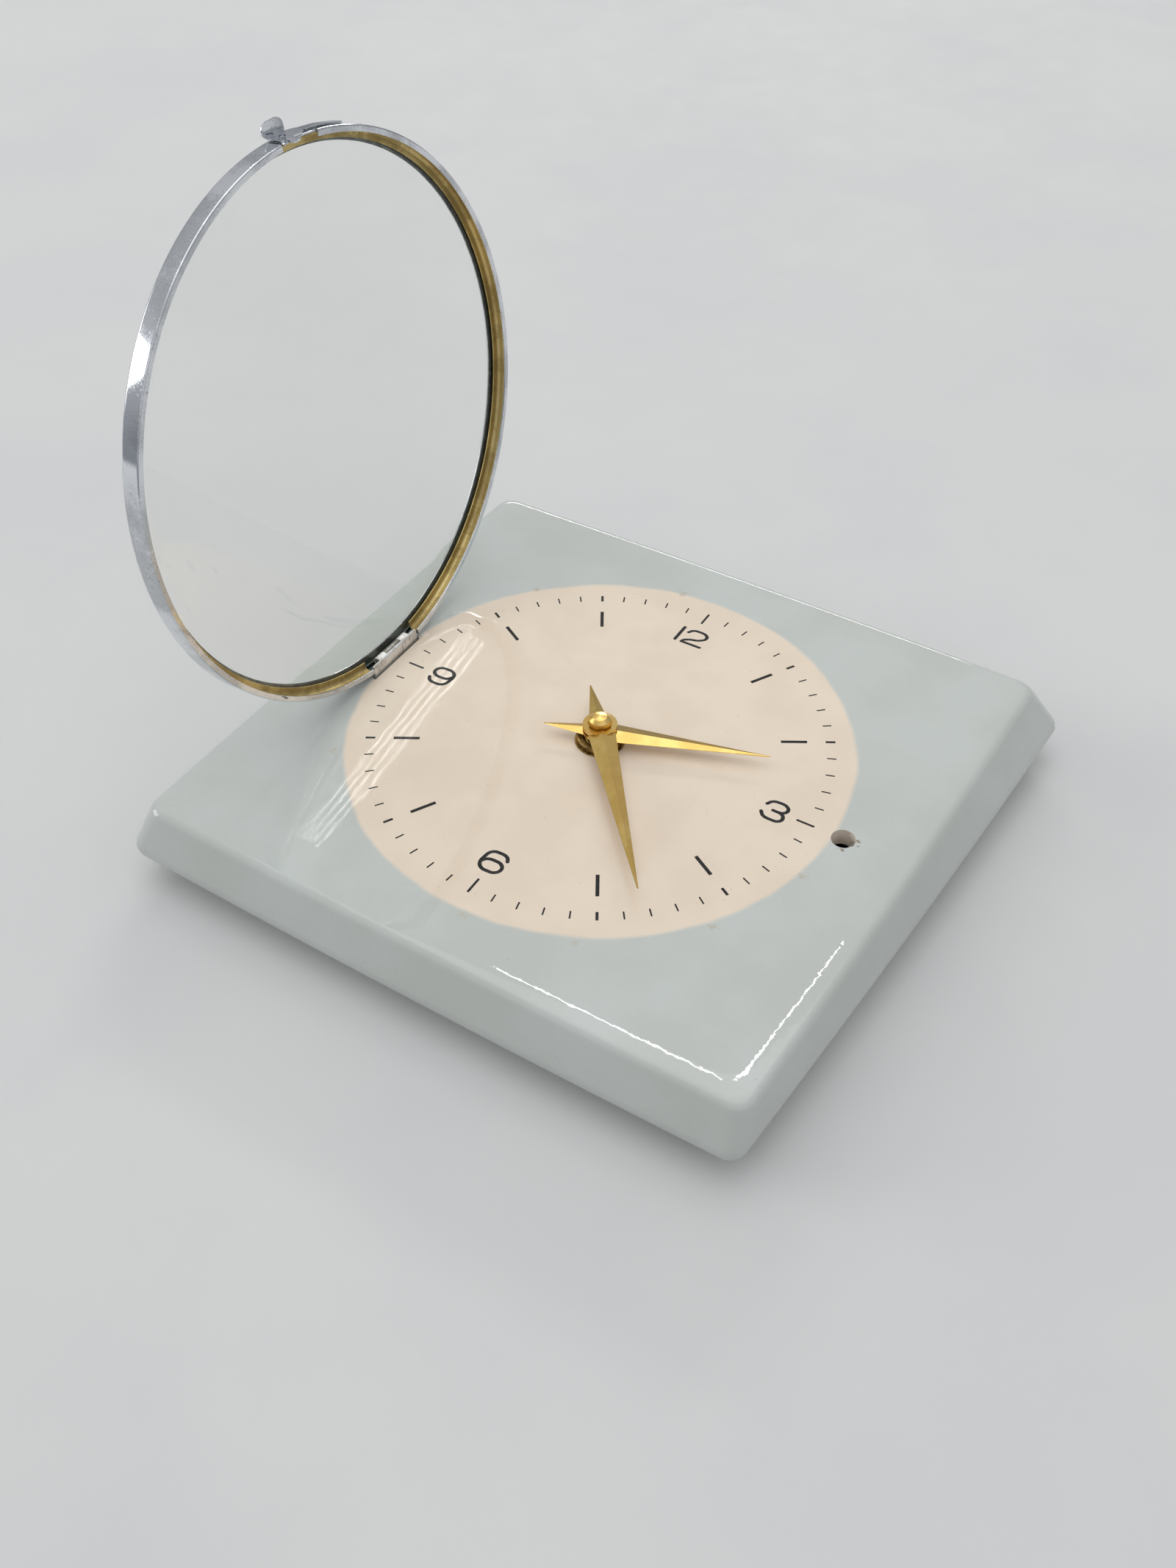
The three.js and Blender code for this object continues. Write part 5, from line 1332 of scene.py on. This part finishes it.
@dataclass(frozen=True)
class TickFamily:
    """Ticks of one kind on the dial.

    Attributes:
        name: the piece's name.
        minutes: the minutes that carry one.
        span: inner and outer radius in millimetres.
        width: width in millimetres.
    """

    name: str
    minutes: tuple[int, ...]
    span: Point
    width: float


FIVE_MINUTES = tuple(m for m in range(0, 60, 5) if m % 15)
TICK_FAMILIES = (
    TickFamily("minute_ticks", tuple(m for m in range(60) if m % 5), (64.7, 67.3), 0.44),
    TickFamily("five_minute_ticks", FIVE_MINUTES, (64.6, 67.4), 0.78),
    TickFamily("quarter_ticks", (0, 15, 30, 45), (62.0, 67.3), 0.68),
    TickFamily("hour_bars", FIVE_MINUTES, (51.8, 59.3), 1.02),
)


@dataclass(frozen=True)
class Numeral:
    """One numeral drawn with round strokes.

    Attributes:
        name: the piece's name.
        centre: its centre on the dial in millimetres.
        strokes: each stroke's points from that centre, in millimetres.
        sharp: points that keep a sharp corner, as (stroke, point).
        turned: whether the numeral is turned half round.
    """

    name: str
    centre: Point
    strokes: tuple[tuple[Point, ...], ...]
    sharp: tuple[tuple[int, int], ...] = ()
    turned: bool = False


SIX = (
    (3.17, 1.84), (2.3, 3.07), (0.1, 3.53), (-2.3, 2.87), (-3.2, 0.27), (-3.0, -2.13), (-1.6, -3.38),
    (0.1, -3.52), (2.3, -3.08), (3.25, -1.47), (2.5, 0.02), (0.1, 0.53), (-2.2, -0.03), (-3.1, -1.23),
)
NUMERALS = (
    Numeral(
        "numeral_12",
        (0.0, 54.66),
        (
            ((-3.56, 3.32), (-3.56, -3.32)),
            (
                (-1.42, 1.68), (-0.5, 2.95), (1.78, 3.46), (4.1, 2.95), (4.83, 1.6), (3.6, -0.15),
                (0.3, -1.5), (-1.0, -2.4), (-1.33, -3.32), (4.97, -3.32),
            ),
        ),
        ((1, 8),),
    ),
    Numeral(
        "numeral_3",
        (55.4, 0.0),
        (
            (
                (-2.94, 1.56), (-1.9, 3.0), (0.1, 3.5), (2.4, 3.05),
                (3.22, 1.83), (2.5, 0.4), (1.2, 0.0), (-0.44, 0.0),
            ),
            (
                (1.2, 0.0), (2.6, -0.5), (3.25, -2.06), (2.5, -3.2),
                (0.4, -3.56), (-2.0, -3.17), (-3.17, -1.83),
            ),
        ),
    ),
    Numeral("numeral_6", (0.0, -55.07), (SIX,)),
    Numeral("numeral_9", (-55.12, -0.25), (SIX,), turned=True),
)


@dataclass
class DialMarks:
    """Ticks, hour bars and numerals, fused flat into the glaze."""

    shop: Shop
    tick_corner: float = 0.12

    def ticks(self, family: TickFamily) -> None:
        """Models one tick and turns copies of it to their minutes.

        Args:
            family: the ticks to make.
        """
        half = family.width / 2
        deep = MARK_LEVEL - MARK_THICKNESS / 2
        first = Workpiece.box(
            family.name, (-half, family.span[0], deep), (half, family.span[1], deep + MARK_THICKNESS)
        )
        first.edit()
        first.pick(Pick.EDGE, lambda e: abs((e.verts[0].co - e.verts[1].co).z) > 0.5 * MARK_THICKNESS * MM)
        bpy.ops.mesh.bevel(offset=self.tick_corner * MM, segments=3, affect="EDGES")
        first.leave()
        copies = [first.copied(f"{family.name}_{minute}") for minute in family.minutes[1:]]
        first.turned_about("Z", -family.minutes[0] * MINUTE)
        for minute, copy in zip(family.minutes[1:], copies):
            copy.turned_about("Z", -minute * MINUTE)
        first.join(copies)
        first.finish("casing", "glazed_ceramic", self.shop["mark_glaze"])

    def stroke(self, name: str, points: Sequence[Point], sharp: Sequence[int]) -> Workpiece:
        """Draws one stroke as a round curve and makes it a mesh with round ends.

        Args:
            name: the stroke's name.
            points: its points in millimetres.
            sharp: indices of the points with a sharp corner.

        Returns:
            The stroke.
        """
        clear_selection()
        bpy.ops.curve.primitive_bezier_curve_add()
        curve = bpy.context.active_object
        spline = curve.data.splines[0]
        spline.bezier_points.add(len(points) - len(spline.bezier_points))
        for i, (point, spot) in enumerate(zip(spline.bezier_points, points)):
            point.co = (spot[0] * MM, spot[1] * MM, 0)
            point.handle_left_type = point.handle_right_type = "VECTOR" if i in sharp else "AUTO"
        curve.data.dimensions = "3D"
        curve.data.resolution_u = 10
        curve.data.bevel_depth = STROKE * MM
        curve.data.bevel_resolution = 4
        curve.data.use_fill_caps = True
        bpy.ops.object.convert(target="MESH")
        piece = Workpiece.from_active(name)
        ends = []
        for spot in (points[0], points[-1], *[points[i] for i in sharp]):
            clear_selection()
            place = (spot[0] * MM, spot[1] * MM, 0)
            bpy.ops.mesh.primitive_uv_sphere_add(
                segments=20, ring_count=10, radius=STROKE * MM, location=place
            )
            ends.append(Workpiece.from_active("stroke_end"))
        piece.join(ends)
        return piece

    def numeral(self, numeral: Numeral) -> None:
        """Models a numeral and flattens it into the glaze.

        Args:
            numeral: the numeral to make.
        """
        strokes = [
            self.stroke(numeral.name, points, [p for s, p in numeral.sharp if s == i])
            for i, points in enumerate(numeral.strokes)
        ]
        piece = strokes[0]
        if len(strokes) > 1:
            piece.join(strokes[1:])
        if numeral.turned:
            piece.turned_about("Z", math.pi)
        piece.edit()
        flat = MARK_THICKNESS / (2 * STROKE)
        bpy.ops.transform.resize(value=(1, 1, flat), center_override=(0, 0, 0))
        bpy.ops.transform.translate(value=Vector((*numeral.centre, MARK_LEVEL)) * MM)
        piece.outward()
        piece.leave()
        piece.finish("casing", "glazed_ceramic", self.shop["mark_glaze"], angle=60)

    def build(self) -> None:
        """Models all the marks."""
        for family in TICK_FAMILIES:
            self.ticks(family)
        for numeral in NUMERALS:
            self.numeral(numeral)


def curl(start: float, end: float, steps: int) -> list[Point]:
    """Points of a sheet's middle curled round the hinge pin.

    Args:
        start: first angle in degrees.
        end: last angle in degrees.
        steps: number of steps.

    Returns:
        (x, z) points in millimetres.
    """
    angles = [math.radians(start + (end - start) * k / steps) for k in range(steps + 1)]
    return [(PIN_X + CURL_RADIUS * math.cos(a), PIN_Z + CURL_RADIUS * math.sin(a)) for a in angles]


@dataclass
class Hinge:
    """Sheet leaf in the casing's slot, its pin, and the bezel's knuckle between the two curls."""

    shop: Shop

    def plate(self) -> None:
        """Models the fixed leaf: tail, upright and two curls."""
        tail_level = low("hinge_leaf_fixed").z + HINGE_SHEET / 2
        line = round_off(
            [
                (high("hinge_leaf_fixed").x, tail_level),
                (LEAF_UPRIGHT_X, tail_level, 0.7),
                (LEAF_UPRIGHT_X, PIN_Z + CURL_RADIUS, 0.7),
                (PIN_X, PIN_Z + CURL_RADIUS),
            ],
            5,
            False,
        )
        line += curl(90, 300, 20)[1:]
        piece = Workpiece.bent_sheet("hinge_plate", line, HINGE_SHEET, (LEAF_Y_LOW, LEAF_Y_HIGH))
        left, right = PIN_X - CURL_OUTER - 1, PIN_X + CURL_OUTER + KNUCKLE_PLAY
        lowest, highest = PIN_Z - CURL_OUTER - 1, PIN_Z + CURL_OUTER + 1
        middle = KNUCKLE_HALF_WIDTH + KNUCKLE_PLAY
        for start, end in ((LEAF_Y_LOW - 1, -CURL_END), (-middle, middle), (CURL_END, LEAF_Y_HIGH + 1)):
            piece.combine(Workpiece.box("curl_gap", (left, start, lowest), (right, end, highest)))
        piece.soften(0.07)
        piece.finish("casing", "aluminium", self.shop["aluminium"], ["hinge_leaf_fixed"])

    def knuckle(self) -> None:
        """Models the moving leaf: a curl on the pin with its pad soldered in the ring."""
        pad_top = GLASS_LOW - 0.3
        line = [(PIN_X - CURL_RADIUS, pad_top), *curl(180, 405, 20)]
        half = KNUCKLE_HALF_WIDTH
        piece = Workpiece.bent_sheet("hinge_knuckle", line, HINGE_SHEET, (-half, half))
        wall = KNUCKLE_PLAY - math.sqrt(WALL_INNER**2 - half**2)
        inner = PIN_X - CURL_RADIUS + HINGE_SHEET / 4
        piece.combine(Workpiece.box("knuckle_pad", (wall, -half, PIN_Z), (inner, half, pad_top)), "UNION")
        piece.soften(0.07)
        piece.swing_open()
        piece.finish("bezel", "steel", self.shop["steel"], ["hinge_leaf_moving"])

    def pin(self) -> None:
        """Models the pin with rounded ends."""
        ends = (-PIN_HALF_LENGTH, PIN_HALF_LENGTH)
        piece = Workpiece.rod("pin", PIN_RADIUS, ends, (PIN_X, PIN_Z), Axis.Y, 32)
        piece.soften(0.18, 3, 60)
        piece.finish("casing", "steel", self.shop["steel"], ["hinge_pin"])

    def build(self) -> None:
        """Models the whole hinge."""
        self.plate()
        self.knuckle()
        self.pin()


@dataclass
class Bezel:
    """Chromed channel ring with its domed glass and the strip that holds it."""

    shop: Shop
    steps: int = 180

    def ring(self) -> None:
        """Models the bent channel with its hinge notch, lip gap and split."""
        profile = round_off(
            [
                (LIP_INNER, RING_LOW, 0.12),
                (RING_RADIUS, RING_LOW, RING_ROLL / 2),
                (RING_RADIUS, RING_HIGH, RING_ROLL),
                (FLANGE_INNER, RING_HIGH, 0.18),
                (FLANGE_INNER, RING_HIGH - RING_SHEET, 0.18),
                (WALL_INNER, RING_HIGH - RING_SHEET, 0.4),
                (WALL_INNER, RING_LOW + RING_SHEET, 0.1),
                (LIP_INNER, RING_LOW + RING_SHEET, 0.12),
            ],
            4,
            True,
        )
        piece = Workpiece.turned("bezel_band", profile, self.steps)
        far, below, lip_high = RING_RADIUS + 1, RING_LOW - 1, RING_LOW + RING_SHEET + 0.05
        half, start, end = NOTCH_HALF_WIDTH, *LIP_GAP
        for name, lowest, highest in (
            ("notch", (-far, -half, below), (-LIP_INNER + 7, half, NOTCH_HIGH)),
            ("lip_gap", (LIP_INNER - 7, start, below), (WALL_INNER, end, lip_high)),
            ("split", (FLANGE_INNER - 7, start, below), (far, start + RING_SPLIT, RING_HIGH + 1)),
        ):
            piece.combine(Workpiece.box(name, lowest, highest))
        piece.soften(0.05, 2, 50)
        piece.obj.data.materials.append(self.shop["chrome"])
        piece.obj.data.materials.append(self.shop["channel_inside"])
        # Faces under the flange inside the channel take the dark metal, painted shade of the unlit channel
        for face in piece.obj.data.polygons:
            face.material_index = int(face.normal.z < -0.5 and face.center.z > (RING_HIGH - 1) * MM)
        piece.swing_open()
        piece.finish("bezel", "chrome", self.shop["chrome"], ["bezel_ring"], 40)

    def dome(self, level: float, steps: int) -> list[Point]:
        """Returns a bowl's section from its middle out to the rim.

        Args:
            level: level of the rim in millimetres.
            steps: number of steps.

        Returns:
            (radius, height) points.
        """
        bowl = (GLASS_RIM_INNER**2 + GLASS_RISE**2) / (2 * GLASS_RISE)
        half = math.asin(GLASS_RIM_INNER / bowl)
        angles = [half * k / steps for k in range(steps + 1)]
        return [(bowl * math.sin(a), level + bowl * math.cos(a) - (bowl - GLASS_RISE)) for a in angles]

    def glass(self) -> None:
        """Models the domed glass with its flat rim and ground edge."""
        inner = self.dome(GLASS_LOW, 24)
        outer = self.dome(GLASS_TOP, 24)
        rim = round_off(
            [inner[-1], (GLASS_RADIUS, GLASS_LOW, 0.3), (GLASS_RADIUS, GLASS_TOP, 0.3), outer[-1]], 3, False
        )
        piece = Workpiece.turned("domed_glass", [*inner, *rim[1:-1], *reversed(outer)], 120, False)
        piece.obj.data.materials.append(self.shop["clear_glass"])
        piece.obj.data.materials.append(self.shop["glass_edge"])
        for face in piece.obj.data.polygons:
            middle = face.center / MM
            on_edge = abs(face.normal.z) < 0.5 and math.hypot(middle.x, middle.y) > GLASS_RIM_INNER + 1
            face.material_index = int(on_edge)
        piece.swing_open()
        piece.finish("bezel", "clear_glass", self.shop["clear_glass"], ["bezel_glass"], 40)

    def strip(self) -> None:
        """Models the strip sprung into the channel, with its foot on the glass, open at the hinge."""
        outer = WALL_INNER - 0.1
        base, top = RING_LOW + RING_SHEET + 0.05, GLASS_LOW - 0.05
        inner = outer - STRIP_SHEET
        profile = round_off(
            [
                (inner, base, 0.1),
                (outer, base, 0.1),
                (outer, top, 1.5),
                (STRIP_FOOT_RADIUS, top, 0.1),
                (STRIP_FOOT_RADIUS, top - STRIP_SHEET, 0.1),
                (inner, top - STRIP_SHEET, 1.15),
            ],
            5,
            True,
        )
        piece = Workpiece.turned("inner_strip", profile, self.steps)
        half = NOTCH_HALF_WIDTH + 0.3
        piece.combine(Workpiece.box("strip_gap", (-RING_RADIUS, -half, base - 1), (0, half, top + 1)))
        piece.swing_open()
        piece.finish("bezel", "dark_brass", self.shop["strip_brass"], ["glass_strip"])

    def latch(self) -> None:
        """Refines the latch leaf with its tab, prong and hole."""
        piece = Workpiece.from_node("latch_plate", "latch_leaf")
        piece.soften(0.09, 3)
        piece.finish("latch", "chrome", self.shop["latch_chrome"], ["latch_leaf"], 38)

    def build(self) -> None:
        """Models the whole bezel."""
        self.ring()
        self.glass()
        self.strip()
        self.latch()


@dataclass(frozen=True)
class Refined:
    """A small piece copied from the frame and given softened edges.

    Attributes:
        name: the piece's name.
        node: the node that it stands for.
        body: the body that it rides on.
        slot: its material slot.
        finish: its finish in the shop.
        edge: width of the softened edges in millimetres.
        angle: edges sharper than this are softened, in degrees.
        smooth: edges sharper than this stay sharp, in degrees.
    """

    name: str
    node: str
    body: str
    slot: str
    finish: str
    edge: float = 0.1
    angle: float = 30.0
    smooth: float = 32.0

    def build(self, shop: Shop) -> None:
        """Copies, softens and finishes the piece.

        Args:
            shop: the finishes.
        """
        piece = Workpiece.from_node(self.name, self.node)
        piece.soften(self.edge, 2, self.angle)
        piece.finish(self.body, self.slot, shop[self.finish], [self.node], self.smooth)


SMALL_PIECES = (
    Refined("hour_dagger", "hour_hand", "hour", "brass", "hour_brass", 0.06, 9, 13),
    Refined("minute_dagger", "minute_hand", "minute", "brass", "minute_brass", 0.06, 9, 13),
    Refined("round_nut", "dial_nut", "casing", "dark_brass", "dark_brass", 0.12),
    Refined("nut_washer", "dial_washer", "casing", "dark_brass", "dark_brass", 0.08),
    Refined("threaded_bush", "centre_bush", "casing", "dark_brass", "dark_brass", 0.08),
    Refined("thin_washer", "hand_washer", "minute", "brass", "nut_brass", 0.06),
    Refined("catch", "catch_clip", "casing", "steel", "steel", 0.06),
    Refined("seal_ring", "rubber_gasket", "casing", "rubber", "rubber", 0.2),
    Refined("hanger", "hanging_bracket", "casing", "steel", "steel", 0.12),
    Refined("works_case", "movement_case", "casing", "black_plastic", "black_plastic", 0.3),
    Refined("works_cover", "back_cover", "casing", "black_plastic", "black_plastic", 0.2),
    Refined("battery_cell", "battery", "casing", "battery_jacket", "battery_jacket", 0.25, 25),
    Refined("contact_plus", "battery_contact_positive", "casing", "steel", "steel", 0.06),
    Refined("contact_minus", "battery_contact_negative", "casing", "steel", "steel", 0.06),
    Refined("turning_knob", "setting_knob", "setting", "ivory_plastic", "ivory_plastic", 0.15, 25),
    Refined("rate_lever", "regulator_lever", "regulator", "steel", "steel", 0.06),
    *(Refined(f"screw_{i}", f"cover_screw_{i}", "casing", "steel", "steel", 0.06) for i in range(1, 5)),
)


@dataclass
class HandNut:
    """Knurled nut with a turned cone that holds the hands."""

    shop: Shop
    radius: float = 3.2
    edge: Point = (0.25, 0.2)
    bore: float = 1.4
    cone: float = 1.2
    cone_foot: float = 0.62
    point: Point = (0.4, 0.4)
    steps: int = 80
    groove: float = 0.95

    def build(self) -> None:
        """Turns the nut and presses its knurl in."""
        base, tip = low("hand_nut").z, high("hand_nut").z
        shoulder = tip - self.cone
        bore_end = shoulder + 0.06
        narrow = self.radius - self.edge[0]
        profile = [
            (0.0, bore_end),
            (self.bore, bore_end),
            (self.bore, base),
            (narrow, base),
            (self.radius, base + self.edge[1]),
            (self.radius, shoulder - self.edge[1]),
            (narrow, shoulder),
            (self.radius * self.cone_foot, tip - self.point[1]),
            (self.point[0], tip - 0.03),
            (0.0, tip),
        ]
        piece = Workpiece.turned("knurled_nut", profile, self.steps, False)
        step = 2 * math.pi / self.steps
        piece.edit()
        piece.pick(
            Pick.VERT,
            lambda v: math.hypot(v.co.x, v.co.y) > (self.radius - 0.05) * MM
            and round(math.atan2(v.co.y, v.co.x) / step) % 2 == 1,
        )
        bpy.ops.transform.resize(value=(self.groove, self.groove, 1), center_override=(0, 0, 0))
        piece.leave()
        piece.finish("minute", "brass", self.shop["nut_brass"], ["hand_nut"], 25)


@dataclass
class Works:
    """Inner works, kept as in the frame with their own finishes."""

    shop: Shop

    def build(self) -> None:
        """Gives each node of the works its finish."""
        for finish, nodes in WORKS.items():
            for node in nodes:
                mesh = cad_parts[node].data
                mesh.materials.clear()
                mesh.materials.append(self.shop[finish])
                log.info("%s keeps its shape", node)


WORKS = {
    "brass": (
        "pillar_plate", "train_bridge", "hour_wheel", "minute_wheel",
        "centre_wheel", "third_wheel", "index_wheel", "balance_wheel",
    ),
    "steel": (
        "minute_arbor", "setting_arbor", "magnet_lower", "magnet_upper", "hairspring", "transistor",
    ),
    "copper_wire": ("drive_coil",),
    "board": ("circuit_board",),
}


@dataclass(frozen=True)
class Lamp:
    """A soft area lamp aimed at the dial.

    Attributes:
        name: the lamp's name.
        azimuth: direction in degrees, anticlockwise from +X.
        height: angle above the sheet in degrees.
        distance: distance in metres.
        size: width and height in metres.
        power: power in watts.
        colour: colour of its light.
        roll: turn about its own axis in degrees.
        shift: sideways shift in metres.
    """

    name: str
    azimuth: float
    height: float
    distance: float
    size: Point
    power: float
    colour: tuple[float, float, float] = (1.0, 1.0, 1.0)
    roll: float = 0.0
    shift: float = 0.0

    def build(self) -> None:
        """Places the lamp."""
        data = bpy.data.lights.new(self.name, "AREA")
        data.shape = "RECTANGLE"
        data.size, data.size_y = self.size
        data.energy = self.power
        data.color = self.colour
        around, above = math.radians(self.azimuth), math.radians(self.height)
        level = math.cos(above)
        spot = Vector((level * math.cos(around), level * math.sin(around), math.sin(above)))
        lamp = bpy.data.objects.new(self.name, data)
        turn = spot.to_track_quat("Z", "Y").to_matrix() @ Matrix.Rotation(math.radians(self.roll), 3, "Z")
        lamp.location = spot * self.distance + turn @ Vector((self.shift, 0, 0))
        lamp.rotation_euler = turn.to_euler()
        bpy.context.scene.collection.objects.link(lamp)


LAMPS = (
    Lamp("window", 113.0, 24.0, 4.0, (1.8, 0.3), 27.0, (1.0, 0.99, 0.96)),
    Lamp("room", -25.0, 35.0, 4.0, (5.0, 4.0), 13.0, (0.99, 0.99, 1.0)),
    Lamp("left", -158.0, 20.0, 3.0, (1.5, 1.0), 17.0, (0.98, 0.99, 1.0)),
    Lamp("overhead", 120.0, 86.0, 3.0, (3.0, 3.0), 25.0),
    Lamp("ceiling", 124.6, 59.1, 2.4, (0.5, 0.03), 1.0, roll=-31.0, shift=-0.05),
    Lamp("side", 101.3, 56.8, 2.4, (0.03, 0.42), 0.8, roll=-30.0),
    *(
        Lamp(f"slat_{i}", 134.4, 42.5, 2.42, (0.004, 0.57), 0.06, roll=-48.1, shift=0.015 * (i - 2))
        for i in range(4)
    ),
)


@dataclass
class Studio:
    """Pale sheet, lamps, sky and the camera of the photograph."""

    shop: Shop
    zenith: tuple = srgb(250, 251, 253)
    horizon: tuple = srgb(160, 163, 169)
    zenith_rise: float = 0.9
    sky_strength: float = 0.71
    sheet_size: float = 6.0
    sheet_gap: float = 0.1

    def floor(self) -> None:
        """Lays the sheet under the clock."""
        clear_selection()
        level = (low("ceramic_casing").z - self.sheet_gap) * MM
        bpy.ops.mesh.primitive_plane_add(size=self.sheet_size, location=(0, 0, level))
        sheet = Workpiece.from_active("sheet")
        sheet.obj.data.materials.append(self.shop["pale_sheet"])

    def world(self) -> None:
        """Sets the plain pale sky, darker towards the horizon."""
        world = bpy.data.worlds.new("sky")
        world.use_nodes = True
        tree = world.node_tree
        background = tree.nodes["Background"]
        axes = tree.nodes.new("ShaderNodeSeparateXYZ")
        tree.links.new(tree.nodes.new("ShaderNodeTexCoord").outputs["Generated"], axes.inputs["Vector"])
        rise = tree.nodes.new("ShaderNodeMapRange")
        rise.inputs["From Max"].default_value = self.zenith_rise
        tree.links.new(axes.outputs["Z"], rise.inputs["Value"])
        shade = tree.nodes.new("ShaderNodeMix")
        shade.data_type = "RGBA"
        tree.links.new(rise.outputs["Result"], shade.inputs["Factor"])
        shade.inputs[COLOUR_A].default_value = self.horizon
        shade.inputs[COLOUR_B].default_value = self.zenith
        tree.links.new(shade.outputs[COLOUR_RESULT], background.inputs["Color"])
        background.inputs["Strength"].default_value = self.sky_strength
        bpy.context.scene.world = world

    def camera(self) -> None:
        """Places the camera where the photograph was taken."""
        data = bpy.data.cameras.new("camera")
        data.sensor_fit = "VERTICAL"
        data.sensor_height = SENSOR
        data.lens = FOCAL_PIXELS * SENSOR / PHOTO_HEIGHT
        data.clip_start = 0.01
        camera = bpy.data.objects.new("camera", data)
        right, up, back = Vector(CAMERA_RIGHT), -Vector(CAMERA_DOWN), -Vector(CAMERA_FORWARD)
        turn = Matrix((right, up, back)).transposed().to_4x4()
        camera.matrix_world = Matrix.Translation(Vector(CAMERA_PLACE) * MM) @ turn
        bpy.context.scene.collection.objects.link(camera)
        bpy.context.scene.camera = camera

    def build(self) -> None:
        """Sets up the whole studio."""
        self.floor()
        self.world()
        for lamp in LAMPS:
            lamp.build()
        self.camera()
        bpy.context.scene.view_settings.view_transform = "Standard"


def pointing(node: str) -> float:
    """Works out where a hand points, from the farthest point of its node.

    Args:
        node: the hand's node.

    Returns:
        The angle in radians, clockwise from 12.
    """
    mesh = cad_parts[node].data
    tip = max((vertex.co for vertex in mesh.vertices), key=lambda co: math.hypot(co.x, co.y))
    return math.atan2(tip.x, tip.y)


def main() -> None:
    """Builds the clock piece by piece, then the studio."""
    shop = Shop(pointing("minute_hand"), pointing("hour_hand"))
    Casing(shop).build()
    DialMarks(shop).build()
    Hinge(shop).build()
    Bezel(shop).build()
    for piece in SMALL_PIECES:
        piece.build(shop)
    HandNut(shop).build()
    Works(shop).build()
    Studio(shop).build()
    clear_selection()


if __name__ == "__main__":
    main()
